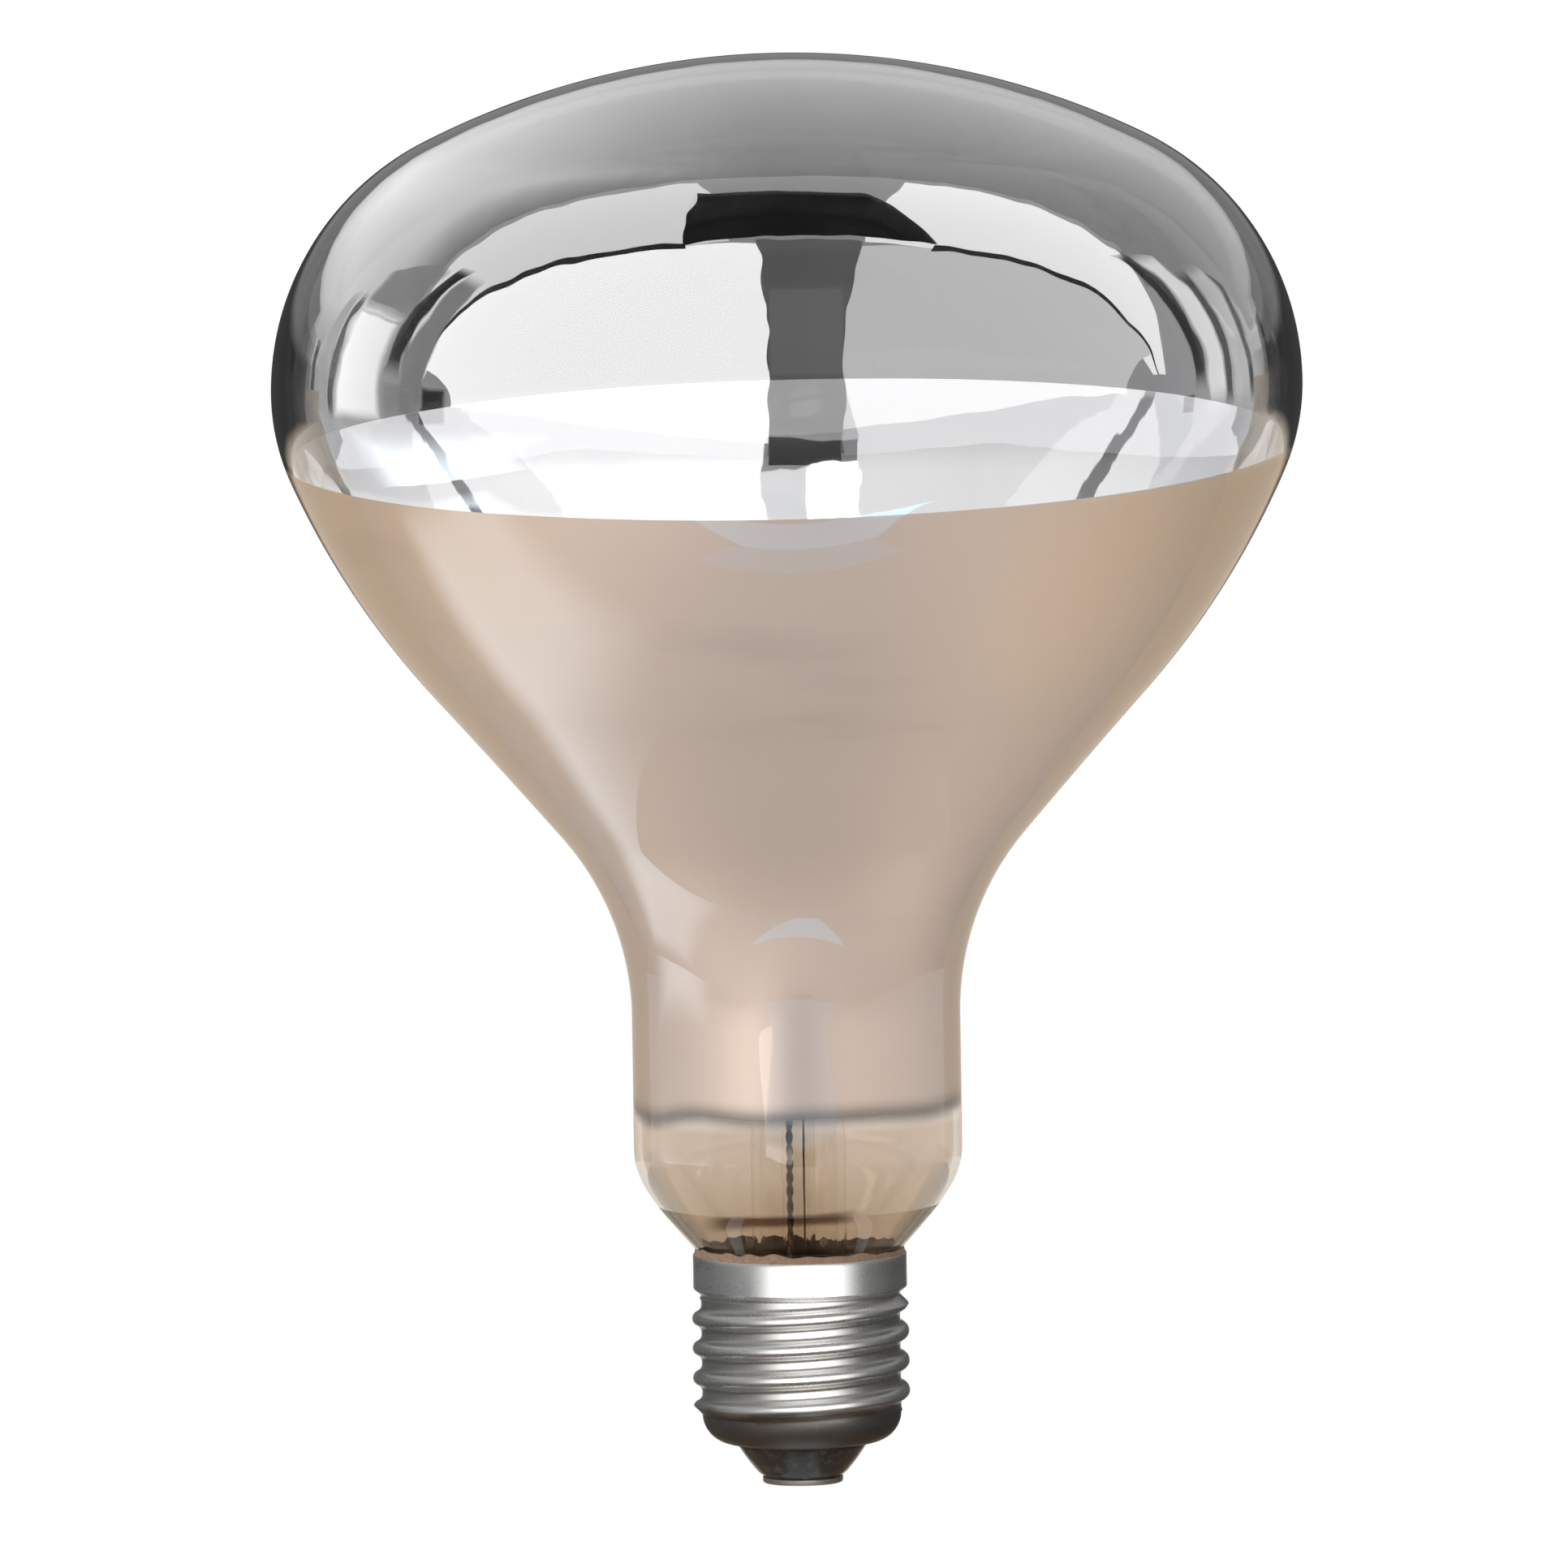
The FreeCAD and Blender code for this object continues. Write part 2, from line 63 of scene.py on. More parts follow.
class Slot(Enum):
    """Material slots of the record."""

    CLEAR_GLASS = "clear_glass"
    MIRROR_FILM = "mirror_film"
    STEM_GLASS = "stem_glass"
    MOLYBDENUM = "molybdenum_wire"
    TUNGSTEN = "tungsten_coil"
    NICKEL = "nickel_wire"
    COPPER = "copper_wire"
    CAP_METAL = "cap_metal"
    BLACK_GLASS = "black_glass"
    CONTACT_METAL = "contact_metal"
    SOLDER = "solder"
    CEMENT = "cement"


class Grain(Enum):
    """How a surface pattern is stretched: even, along the axis or round it."""

    EVEN = (1.0, 1.0, 1.0)
    UPRIGHT = (1.0, 1.0, 0.12)
    ROUND = (0.2, 0.2, 1.0)


class Signal:
    """An output socket of a material, whose operators add Math nodes."""

    def __init__(self, graph: "Graph", socket: bpy.types.NodeSocket) -> None:
        """Keep the graph and the socket."""
        self.graph = graph
        self.socket = socket

    def __add__(self, other: Input) -> "Signal":
        """Sum."""
        return self.graph.math("ADD", self, other)

    def __radd__(self, other: Input) -> "Signal":
        """Sum with a number on the left."""
        return self.graph.math("ADD", other, self)

    def __sub__(self, other: Input) -> "Signal":
        """Difference."""
        return self.graph.math("SUBTRACT", self, other)

    def __rsub__(self, other: Input) -> "Signal":
        """Difference from a number on the left."""
        return self.graph.math("SUBTRACT", other, self)

    def __mul__(self, other: Input) -> "Signal":
        """Product."""
        return self.graph.math("MULTIPLY", self, other)

    def __rmul__(self, other: Input) -> "Signal":
        """Product with a number on the left."""
        return self.graph.math("MULTIPLY", other, self)


class Graph:
    """Node tree of one material or of the world."""

    def __init__(self, tree: bpy.types.NodeTree) -> None:
        """Start from an empty tree."""
        self.tree = tree
        tree.nodes.clear()

    def node(self, kind: str, settings: Optional[dict] = None, inputs: Optional[dict] = None,
             output: Union[int, str] = 0) -> Signal:
        """Add any node.

        Args:
            kind: Blender's name of the node type.
            settings: properties of the node, set before its sockets.
            inputs: values or signals by socket name or number.
            output: name or number of the output to return.

        Returns:
            The output as a signal, or the first input of a node without outputs.
        """
        made = self.tree.nodes.new(kind)
        for key, value in (settings or {}).items():
            setattr(made, key, value)
        for key, value in (inputs or {}).items():
            socket = made.inputs[key]
            if isinstance(value, Signal):
                self.tree.links.new(value.socket, socket)
            elif isinstance(value, tuple) and len(value) == 3 and socket.type == "RGBA":
                socket.default_value = (*value, 1.0)
            else:
                socket.default_value = value
        outlet = made.outputs[output] if len(made.outputs) else made.inputs[0]
        return Signal(self, outlet)

    def math(self, operation: str, first: Input, second: Input = 0.0) -> Signal:
        """Add a Math node for one operation."""
        return self.node("ShaderNodeMath", {"operation": operation}, {0: first, 1: second})

    def mix(self, share: Input, first: Input, second: Input) -> Signal:
        """Blend two colours by a share of the second."""
        return self.node("ShaderNodeMix", {"data_type": "RGBA"}, {0: share, 6: first, 7: second}, 2)

    def blend(self, share: Input, first: Signal, second: Signal) -> Signal:
        """Blend two shaders by a share of the second."""
        return self.node("ShaderNodeMixShader", inputs={0: share, 1: first, 2: second})

    def step(self, value: Input, low: float, high: float) -> Signal:
        """Smooth rise from 0 at low to 1 at high."""
        edges = {"Value": value, "From Min": low, "From Max": high}
        return self.node("ShaderNodeMapRange", {"interpolation_type": "SMOOTHSTEP"}, edges)

    def place(self) -> Signal:
        """Place on the lamp, in metres."""
        return self.node("ShaderNodeTexCoord", output="Object")

    def part(self, axis: str) -> Signal:
        """One coordinate of the place on the lamp, in metres."""
        return self.node("ShaderNodeSeparateXYZ", inputs={0: self.place()}, output=axis)

    def own(self, attribute: str) -> Signal:
        """Value that the mesh itself carries at each point."""
        return self.node("ShaderNodeAttribute", {"attribute_name": attribute}, output="Fac")

    def ray(self, kind: str) -> Signal:
        """1 for rays of a kind, such as Camera, and 0 for the others."""
        return self.node("ShaderNodeLightPath", output=f"Is {kind} Ray")

    def noise(self, per_mm: float, detail: float = 3.0, grain: Grain = Grain.EVEN) -> Signal:
        """Noise of a fineness.

        Args:
            per_mm: blobs to the millimetre.
            detail: octaves.
            grain: direction in which the pattern is stretched.

        Returns:
            A signal about 0.5.
        """
        sides = {0: self.place(), 1: grain.value}
        scaled = self.node("ShaderNodeVectorMath", {"operation": "MULTIPLY"}, sides)
        pattern = {"Vector": scaled, "Scale": per_mm / MM, "Detail": detail}
        return self.node("ShaderNodeTexNoise", inputs=pattern)

    def bump(self, height: Signal, depth_mm: float, strength: float = 1.0) -> Signal:
        """Normal from a height signal that spans a depth."""
        relief = {"Strength": strength, "Distance": depth_mm * MM, "Height": height}
        return self.node("ShaderNodeBump", inputs=relief)

    def surface(self, **sockets: Input) -> Signal:
        """Principled shader from sockets named with underscores."""
        named = {key.replace("_", " "): value for key, value in sockets.items()}
        return self.node("ShaderNodeBsdfPrincipled", inputs=named)

    def glow(self, colour: Colour, strength: float) -> Signal:
        """Shader that gives off light."""
        return self.node("ShaderNodeEmission", inputs={"Color": colour, "Strength": strength})

    def output(self, kind: str, shader: Signal) -> None:
        """End the tree in its output node, of the kind Material or World."""
        self.node(f"ShaderNodeOutput{kind}", inputs={"Surface": shader})


@dataclass(frozen=True)
class Finish:
    """What a surface is made of. Each kind of finish gives its own shader."""

    name: str

    def shader(self, graph: Graph) -> Signal:
        """Work out the shader, which each kind of finish does for itself."""
        raise NotImplementedError

    def material(self) -> bpy.types.Material:
        """Make the material.

        Returns:
            A node material that ends in the finish's shader.
        """
        made = bpy.data.materials.new(self.name)
        made.use_nodes = True
        graph = Graph(made.node_tree)
        graph.output("Material", self.shader(graph))
        return made


@dataclass(frozen=True)
class BulbGlass(Finish):
    """Blown glass: clear at the face, smoked amber at the neck, with a brown stroke across the front of the
    lower shoulder.
    """

    coat: float
    mirror: float
    face_foot: Span = (0.1262, 0.1272)
    face_lean: float = 3.9
    face_tint: Colour = (0.80, 0.80, 0.81)
    # face_rim_shade darkens the clear face towards its silhouette: partly the deeper tint of a longer path
    # through the glass, partly painted shade at the rims.
    face_rim_shade: Colour = (0.16, 0.165, 0.18)
    face_turn: Span = (0.76, 0.985)
    face_shine: Colour = (0.1, 0.1, 0.1)
    gloss_tint: Colour = (0.97, 0.98, 1.0)
    gloss_index: float = 2.6
    bowl_tint: Colour = (0.97, 0.965, 0.95)
    neck_top: Span = (0.0445, 0.0465)
    neck_tint: Colour = (0.745, 0.658, 0.575)
    # neck_rim_shade: partly the deeper amber of a longer path through the glass, partly painted shade at the
    # rims.
    neck_rim_shade: Colour = (0.58, 0.46, 0.35)
    neck_turn: Span = (0.6, 0.95)
    neck_low: Colour = (0.60, 0.50, 0.39)
    neck_low_top: Span = (0.031, 0.041)
    glass_index: float = 1.5
    wave_depth: float = 0.35
    wave_strength: float = 0.25
    brown_stroke: Colour = (0.13, 0.075, 0.045)
    stroke_share: float = 0.95
    stroke_height: float = 0.0341
    stroke_slope: float = 0.05
    stroke_wander: float = 0.0016
    stroke_half: Span = (0.0003, 0.0011)
    stroke_left: Span = (-0.0125, -0.008)
    stroke_right: Span = (0.004, 0.0085)
    stroke_front: Span = (-0.010, -0.006)

    def shader(self, graph: Graph) -> Signal:
        """Work out the glass.

        Args:
            graph: graph of the material.

        Returns:
            A refracting shader whose tint follows the height, with a rippled gloss on the face.
        """
        height = graph.part("Z")
        leaned = height - graph.part("Y") * math.tan(math.radians(self.face_lean))
        face = graph.step(leaned, *self.face_foot)
        swell = graph.noise(0.035, 2.0, Grain.ROUND)
        ripple = swell + graph.noise(0.12, 1.0) * 0.8 + graph.noise(0.3, 0.0) * 0.25
        dust = graph.step(graph.noise(0.9, 5.0), 0.66, 0.8)
        glass = {"Base_Color": self.tint(graph, height, face), "Roughness": dust * 0.05,
                 "IOR": self.glass_index, "Transmission_Weight": 1.0}
        bowl = graph.surface(Specular_Tint=(self.mirror, self.mirror, self.mirror),
                             Normal=graph.bump(swell, self.wave_depth, self.wave_strength), **glass)
        window = graph.surface(Specular_Tint=self.face_shine, **glass)
        sheen = graph.surface(Base_Color=self.gloss_tint, Metallic=1.0, Roughness=dust * 0.012,
                              Normal=graph.bump(ripple, self.wave_depth, self.wave_strength))
        outside = 1 - graph.node("ShaderNodeNewGeometry", output="Backfacing")
        gloss = graph.node("ShaderNodeFresnel", inputs={"IOR": self.gloss_index}) * outside * self.coat
        return graph.blend(face, bowl, graph.blend(gloss, window, sheen))

    def tint(self, graph: Graph, height: Signal, face: Signal) -> Signal:
        """Colour of the glass.

        Args:
            graph: graph of the material.
            height: height on the lamp.
            face: share of the clear face.

        Returns:
            The colour from the neck up to the face, with its stain.
        """
        # Darker towards the silhouette by the Layer Weight facing: partly the deeper tint of a longer path,
        # partly painted shade at the rims of the face and neck.
        facing = graph.node("ShaderNodeLayerWeight", inputs={"Blend": 0.5}, output="Facing")
        neck = graph.mix(graph.step(facing, *self.neck_turn), self.neck_tint, self.neck_rim_shade)
        neck = graph.mix(graph.step(height, *self.neck_low_top), self.neck_low, neck)
        body = graph.mix(graph.step(height, *self.neck_top), neck, self.bowl_tint)
        clear = graph.mix(graph.step(facing, *self.face_turn), self.face_tint, self.face_rim_shade)
        return graph.mix(self.smear(graph, height), graph.mix(face, body, clear), self.brown_stroke)

    def smear(self, graph: Graph, height: Signal) -> Signal:
        """Brown stroke: broken, across the front of the lower shoulder.

        Args:
            graph: graph of the material.
            height: height on the lamp.

        Returns:
            The share of the brown stroke.
        """
        across = graph.part("X")
        wander = (graph.noise(0.25, 4.0, Grain.ROUND) - 0.5) * self.stroke_wander
        off = graph.math("ABSOLUTE", height - self.stroke_height - across * self.stroke_slope + wander)
        stroke = graph.step(across, *self.stroke_left) * (1 - graph.step(across, *self.stroke_right))
        front = 1 - graph.step(graph.part("Y"), *self.stroke_front)
        return (1 - graph.step(off, *self.stroke_half)) * stroke * front * self.stroke_share


@dataclass(frozen=True)
class FilmBack(Finish):
    """Mirror film seen through the glass: champagne satin with a smoky lower edge."""

    name: str = "film_champagne"
    # tone is the painted neutral reflection in the middle of the front view; warm is the film's own colour at
    # the left and right sides.
    tone: Colour = (0.62, 0.50, 0.43)
    warm: Colour = (0.66, 0.50, 0.36)
    warm_from: Span = (0.02, 0.06)
    warm_wander: float = 0.02
    smoke: Colour = (0.16, 0.13, 0.11)
    smudge_range: Span = (0.60, 0.82)
    smudge_share: float = 0.45
    edge_share: float = 0.8
    edge_wander: float = 0.001
    fade: float = 0.0016

    def shader(self, graph: Graph) -> Signal:
        """Work out the outer face of the film.

        Args:
            graph: graph of the material.

        Returns:
            A satin metal that fades out at the lower edge by the mesh's own "rise".
        """
        rise = graph.own("rise")
        cloud = graph.noise(0.03, 3.0)
        smudge = graph.noise(0.05, 5.0, Grain.ROUND)
        grain = graph.noise(1.6, 4.0)
        # Pinker in the middle and warmer at the left and right sides as seen from the front: the pink middle
        # is painted reflection over the warm film.
        aside = graph.math("ABSOLUTE", graph.part("X")) + cloud * self.warm_wander
        toned = graph.mix(graph.step(aside, *self.warm_from), self.tone, self.warm)
        toned = graph.mix(graph.step(smudge, *self.smudge_range) * self.smudge_share, toned, self.smoke)
        edge = 1 - graph.step(rise, self.fade, 2.6 * self.fade)
        toned = graph.mix(edge * self.edge_share, toned, self.smoke)
        rough = 0.30 + cloud * 0.08 + grain * 0.04
        cover = graph.step(rise + (cloud - 0.5) * self.edge_wander, 0.0, 1.8 * self.fade)
        return graph.surface(Base_Color=toned, Metallic=0.75, Roughness=rough, Alpha=cover,
                             Normal=graph.bump(grain, 0.02, 0.3))


@dataclass(frozen=True)
class FilmMirror(Finish):
    """Bright inner face of the mirror film, a little wavy."""

    name: str = "film_mirror"
    tone: Colour = (0.90, 0.905, 0.91)
    smoke: Colour = (0.14, 0.12, 0.10)
    haze_range: Span = (0.62, 0.85)
    haze_share: float = 0.2
    wave_depth: float = 1.2
    wave_strength: float = 0.35
    fade: float = 0.0016

    def shader(self, graph: Graph) -> Signal:
        """Work out the bright face.

        Args:
            graph: graph of the material.

        Returns:
            A mirror with slow waves and fine flow lines.
        """
        wave = graph.noise(0.045, 2.0)
        flow = graph.noise(0.16, 3.0, Grain.UPRIGHT)
        haze = graph.step(graph.noise(0.06, 4.0), *self.haze_range)
        rise = graph.own("rise")
        edge = 1 - graph.step(rise, 2 * self.fade, 5 * self.fade)
        toned = graph.mix(graph.math("MAXIMUM", haze * self.haze_share, edge), self.tone, self.smoke)
        rough = 0.03 + haze * 0.06 + edge * 0.3
        cover = graph.step(rise, 0.0, 1.8 * self.fade)
        return graph.surface(Base_Color=toned, Metallic=1.0, Roughness=rough, Alpha=cover,
                             Normal=graph.bump(wave + flow * 0.12, self.wave_depth, self.wave_strength))


@dataclass(frozen=True)
class Metal(Finish):
    """A metal with cloudy tarnish, fine grain and a second tone in its hollows."""

    tone: Colour
    tarnish: Colour
    share: float = 0.35
    roughness: float = 0.3
    fineness: float = 1.2
    grain: Grain = Grain.EVEN
    tarnish_range: Span = (0.42, 0.68)
    depth: float = 0.02

    def shader(self, graph: Graph) -> Signal:
        """Work out the metal.

        Args:
            graph: graph of the material.

        Returns:
            A metallic shader with tarnish and grain.
        """
        cloud = graph.noise(self.fineness * 0.25, 4.0, self.grain)
        fine = graph.noise(self.fineness * 3.0, 5.0, self.grain)
        mask = graph.step(cloud * 0.6 + fine * 0.4, *self.tarnish_range) * self.share
        toned = graph.mix(mask, self.tone, self.tarnish)
        rough = self.roughness + mask * 0.25 + (fine - 0.5) * 0.12
        return graph.surface(Base_Color=toned, Metallic=1.0, Roughness=rough,
                             Normal=graph.bump(fine, self.depth, 0.4))


@dataclass(frozen=True)
class CapMetal(Finish):
    """Nickelled sheet of the screw shell: speckled, with painted shade in the thread roots and dark brown
    painted shade on the rounded end.
    """

    name: str = "cap_nickel"
    tone: Colour = (0.68, 0.68, 0.67)
    # root is the painted shade in the thread roots, and also the colour of the specks of grit.
    root: Colour = (0.36, 0.345, 0.325)
    root_shade_share: float = 0.55
    root_shade_depth: Span = (0.0121, 0.0129)
    thread_foot: Span = (0.0085, 0.0095)
    thread_head: Span = (0.0236, 0.0242)
    # end_shade: dark brown painted shade on the downward-facing rounded end, which is also rougher.
    end_shade: Colour = (0.075, 0.062, 0.05)
    end_shade_share: float = 0.9
    end_shade_top: Span = (0.0088, 0.0118)
    end_shade_wander: float = 0.006
    speck_range: Span = (0.60, 0.72)
    speck_share: float = 0.2

    def shader(self, graph: Graph) -> Signal:
        """Work out the shell metal.

        Args:
            graph: graph of the material.

        Returns:
            A satin metal whose tone follows the thread's depth as painted shade, with painted shade on the
            rounded end.
        """
        across = graph.part("X")
        along = graph.part("Y")
        radius = graph.math("SQRT", across * across + along * along)
        height = graph.part("Z")
        speck = graph.noise(2.4, 6.0)
        scuff = graph.noise(0.5, 4.0, Grain.ROUND)
        # Painted shade in the thread's roots: darker where the radius is small.
        deep = 1 - graph.step(radius, *self.root_shade_depth)
        thread = graph.step(height, *self.thread_foot) * (1 - graph.step(height, *self.thread_head))
        toned = graph.mix(deep * thread * self.root_shade_share, self.tone, self.root)
        # Painted shade on the downward-facing rounded end: dark brown below a ragged line.
        ragged = height + (scuff - 0.5) * self.end_shade_wander
        brown = (1 - graph.step(ragged, *self.end_shade_top)) * self.end_shade_share
        toned = graph.mix(brown, toned, self.end_shade)
        toned = graph.mix(graph.step(speck, *self.speck_range) * self.speck_share, toned, self.root)
        rough = 0.20 + scuff * 0.1 + speck * 0.06 + brown * 0.2
        return graph.surface(Base_Color=toned, Metallic=1.0, Roughness=rough,
                             Normal=graph.bump(speck + scuff, 0.02, 0.3))


@dataclass(frozen=True)
class BlackGlass(Finish):
    """Black glass of the insulator, with a dusty bloom."""

    name: str = "black_glass"
    tone: Colour = (0.012, 0.013, 0.013)
    bloom: Colour = (0.055, 0.052, 0.047)

    def shader(self, graph: Graph) -> Signal:
        """Work out the black glass.

        Args:
            graph: graph of the material.

        Returns:
            A dark gloss with flow marks.
        """
        flow = graph.noise(0.35, 4.0)
        dust = graph.step(graph.noise(1.0, 3.0), 0.45, 0.8)
        toned = graph.mix(dust * 0.5, self.tone, self.bloom)
        return graph.surface(Base_Color=toned, Roughness=0.24 + dust * 0.15, Coat_Weight=0.3,
                             Normal=graph.bump(flow, 0.25, 0.5))


@dataclass(frozen=True)
class StemGlass(Finish):
    """Greyish lead glass of the stem, exhaust tube and rod."""

    name: str = "stem_glass"
    tint: Colour = (0.96, 0.95, 0.93)
    cord: Colour = (0.90, 0.87, 0.82)
    index: float = 1.2

    def shader(self, graph: Graph) -> Signal:
        """Work out the stem glass.

        Args:
            graph: graph of the material.

        Returns:
            A refracting shader with upright draw lines.
        """
        lines = graph.noise(0.8, 3.0, Grain.UPRIGHT)
        toned = graph.mix(graph.step(lines, 0.5, 0.75), self.tint, self.cord)
        return graph.surface(Base_Color=toned, Roughness=0.02 + lines * 0.03, IOR=self.index,
                             Transmission_Weight=1.0, Normal=graph.bump(lines, 0.1, 0.3))


@dataclass(frozen=True)
class Cement(Finish):
    """Brown basing cement, baked and crumbly."""

    name: str = "basing_cement"
    tone: Colour = (0.30, 0.19, 0.115)
    pale: Colour = (0.42, 0.30, 0.20)
    burnt: Colour = (0.09, 0.048, 0.028)
    burnt_share: float = 0.7
    burnt_front: Span = (-0.006, 0.006)
    burnt_wander: float = 0.006

    def shader(self, graph: Graph) -> Signal:
        """Work out the cement.

        Args:
            graph: graph of the material.

        Returns:
            A matt shader with crumbs and burnt patches.
        """
        crumb = graph.noise(2.0, 6.0)
        patch = graph.noise(0.3, 3.0)
        toned = graph.mix(graph.step(crumb, 0.45, 0.7), self.tone, self.pale)
        ragged = graph.part("Y") + (patch - 0.5) * self.burnt_wander
        front = 1 - graph.step(ragged, *self.burnt_front)
        burnt = graph.math("MAXIMUM", graph.step(patch, 0.5, 0.75), front) * self.burnt_share
        toned = graph.mix(burnt, toned, self.burnt)
        return graph.surface(Base_Color=toned, Roughness=0.75 + crumb * 0.2,
                             Normal=graph.bump(crumb, 0.25, 0.8))


@dataclass(frozen=True)
class PaleFloor(Finish):
    """Matt floor, which runs out into the white of the room for the camera."""

    name: str = "pale_floor"
    tone: Colour = (0.70, 0.70, 0.69)
    pale: Colour = (0.74, 0.74, 0.73)
    roughness: float = 0.85
    white_from: Span = (0.5, 1.2)

    def shader(self, graph: Graph) -> Signal:
        """Work out the floor.

        Args:
            graph: graph of the material.

        Returns:
            A mottled matt shader that turns white far from the lamp.
        """
        toned = graph.mix(graph.noise(0.004, 3.0), self.tone, self.pale)
        matt = graph.surface(Base_Color=toned, Roughness=self.roughness)
        away = graph.node("ShaderNodeVectorMath", {"operation": "LENGTH"}, {0: graph.place()}, "Value")
        share = graph.step(away, *self.white_from) * graph.ray("Camera")
        return graph.blend(share, matt, graph.glow(WHITE, 1.0))


@dataclass(frozen=True)
class CardGlow(Finish):
    """Glow of a studio card, which dies away towards soft edges by the mesh's own "edge"."""

    radiance: float
    hue: Colour
    soft: float

    def shader(self, graph: Graph) -> Signal:
        """Work out the glow.

        Args:
            graph: graph of the material.

        Returns:
            An even glow, clear at soft edges.
        """
        glow = graph.glow(self.hue, self.radiance)
        if not self.soft:
            return glow
        share = graph.step(graph.own("edge"), 0.0, self.soft)
        return graph.blend(share, graph.node("ShaderNodeBsdfTransparent"), glow)


def new_piece(name: str, mesh: bpy.types.Mesh, finishes: Sequence[bpy.types.Material]) -> bpy.types.Object:
    """Link a mesh as a piece.

    Args:
        name: name of the piece.
        mesh: its mesh.
        finishes: its materials, in the order of the mesh's material numbers.

    Returns:
        The piece.
    """
    made = bpy.data.objects.new(name, mesh)
    bpy.context.scene.collection.objects.link(made)
    for finish in finishes:
        mesh.materials.append(finish)
    return made


def skin(name: str, grid: np.ndarray, bands: Sequence[int] = (), loop: bool = False, wrap: bool = True,
         crease: float = 50.0) -> bpy.types.Mesh:
    """Mesh over a grid of points; a row that shrinks to one point becomes a pole.

    Args:
        name: name of the mesh.
        grid: rows by columns by three, in millimetres.
        bands: material number of each band between two rows, 0 for the bands after them.
        loop: also join the last row to the first.
        wrap: also join the last column to the first.
        crease: angle in degrees over which an edge stays sharp.

    Returns:
        The mesh, in metres, shaded smooth.
    """
    points: list[np.ndarray] = []
    rows: list[list[int]] = []
    for ring in grid:
        pole = wrap and np.ptp(ring, axis=0).max() < 1e-6
        first = len(points)
        points.extend(ring[:1] if pole else ring)
        rows.append([first] * len(ring) if pole else list(range(first, first + len(ring))))
    if loop:
        rows.append(rows[0])
    faces: list[list[int]] = []
    numbers: list[int] = []
    for band, (low, high) in enumerate(zip(rows, rows[1:])):
        number = bands[band] if band < len(bands) else 0
        for column in range(len(low) if wrap else len(low) - 1):
            after = (column + 1) % len(low)
            corners = dict.fromkeys((low[column], low[after], high[after], high[column]))
            faces.append(list(corners))
            numbers.append(number)
    mesh = bpy.data.meshes.new(name)
    mesh.from_pydata([tuple(place * MM) for place in np.asarray(points)], [], faces)
    mesh.polygons.foreach_set("material_index", numbers)
    work = bmesh.new()
    work.from_mesh(mesh)
    bmesh.ops.recalc_face_normals(work, faces=work.faces)
    work.to_mesh(mesh)
    work.free()
    mesh.polygons.foreach_set("use_smooth", [True] * len(mesh.polygons))
    mesh.set_sharp_from_angle(angle=math.radians(crease))
    return mesh


def mark(mesh: bpy.types.Mesh, attribute: str, values: np.ndarray) -> None:
    """Let a mesh carry a value at each point."""
    made = mesh.attributes.new(attribute, "FLOAT", "POINT")
    made.data.foreach_set("value", values.ravel().astype(np.float32))


def circle(count: int) -> np.ndarray:
    """Angles of a full turn."""
    return np.linspace(0.0, 2 * math.pi, count, endpoint=False)


def polar(radius: np.ndarray, around: np.ndarray, height: np.ndarray) -> np.ndarray:
    """Points at a radius, an angle round the axis and a height."""
    return np.stack(np.broadcast_arrays(radius * np.cos(around), radius * np.sin(around), height), axis=-1)


def turned(path: np.ndarray, segments: int) -> np.ndarray:
    """Grid of an outline of radius and height turned about the axis."""
    return polar(path[:, :1], circle(segments), path[:, 1:])


def tube(path: np.ndarray, radius: float, sides: int) -> np.ndarray:
    """Grid of a round wire along a path, closed at both ends.

    Args:
        path: points by three, in millimetres.
        radius: radius of the wire.
        sides: points round the wire.

    Returns:
        Rows round the wire, with a pole at each end.
    """
    steep = 0.9
    run = np.gradient(path, axis=0)
    run /= np.linalg.norm(run, axis=1, keepdims=True)
    side = np.cross(run, np.where(np.abs(run[:, 2:]) < steep, (0.0, 0.0, 1.0), (1.0, 0.0, 0.0)))
    for row in range(1, len(side)):
        side[row] = side[row - 1] - run[row] * np.dot(run[row], side[row - 1])
        side[row] /= np.linalg.norm(side[row])
    side[0] /= np.linalg.norm(side[0])
    other = np.cross(run, side)
    around = circle(sides)[:, None]
    spokes = [np.cos(around) * a + np.sin(around) * b for a, b in zip(side, other)]
    rings = [place + radius * spoke for place, spoke in zip(path, spokes)]
    ends = [np.repeat(path[:1], sides, axis=0), np.repeat(path[-1:], sides, axis=0)]
    return np.stack([ends[0], *rings, ends[1]])


def rounded(points: Sequence[Point], step: float, reach: float) -> np.ndarray:
    """Path along straight runs with worn corners.

    Args:
        points: corners of the path.
        step: distance between two points of the path.
        reach: length over which a corner is worn round.

    Returns:
        Points by three, from the first corner to the last.
    """
    corners = np.array(points, float)
    places = [corners[0]]
    for start, end in zip(corners, corners[1:]):
        count = max(1, round(np.linalg.norm(end - start) / step))
        places += [start + (end - start) * share for share in np.linspace(0, 1, count + 1)[1:]]
    path = np.array(places)
    width = max(1, round(reach / step))
    padded = np.concatenate([np.repeat(path[:1], width, 0), path, np.repeat(path[-1:], width, 0)])
    kernel = np.ones(2 * width + 1) / (2 * width + 1)
    smooth = np.stack([np.convolve(padded[:, axis], kernel, "valid") for axis in range(3)], axis=1)
    smooth[0], smooth[-1] = path[0], path[-1]
    return smooth


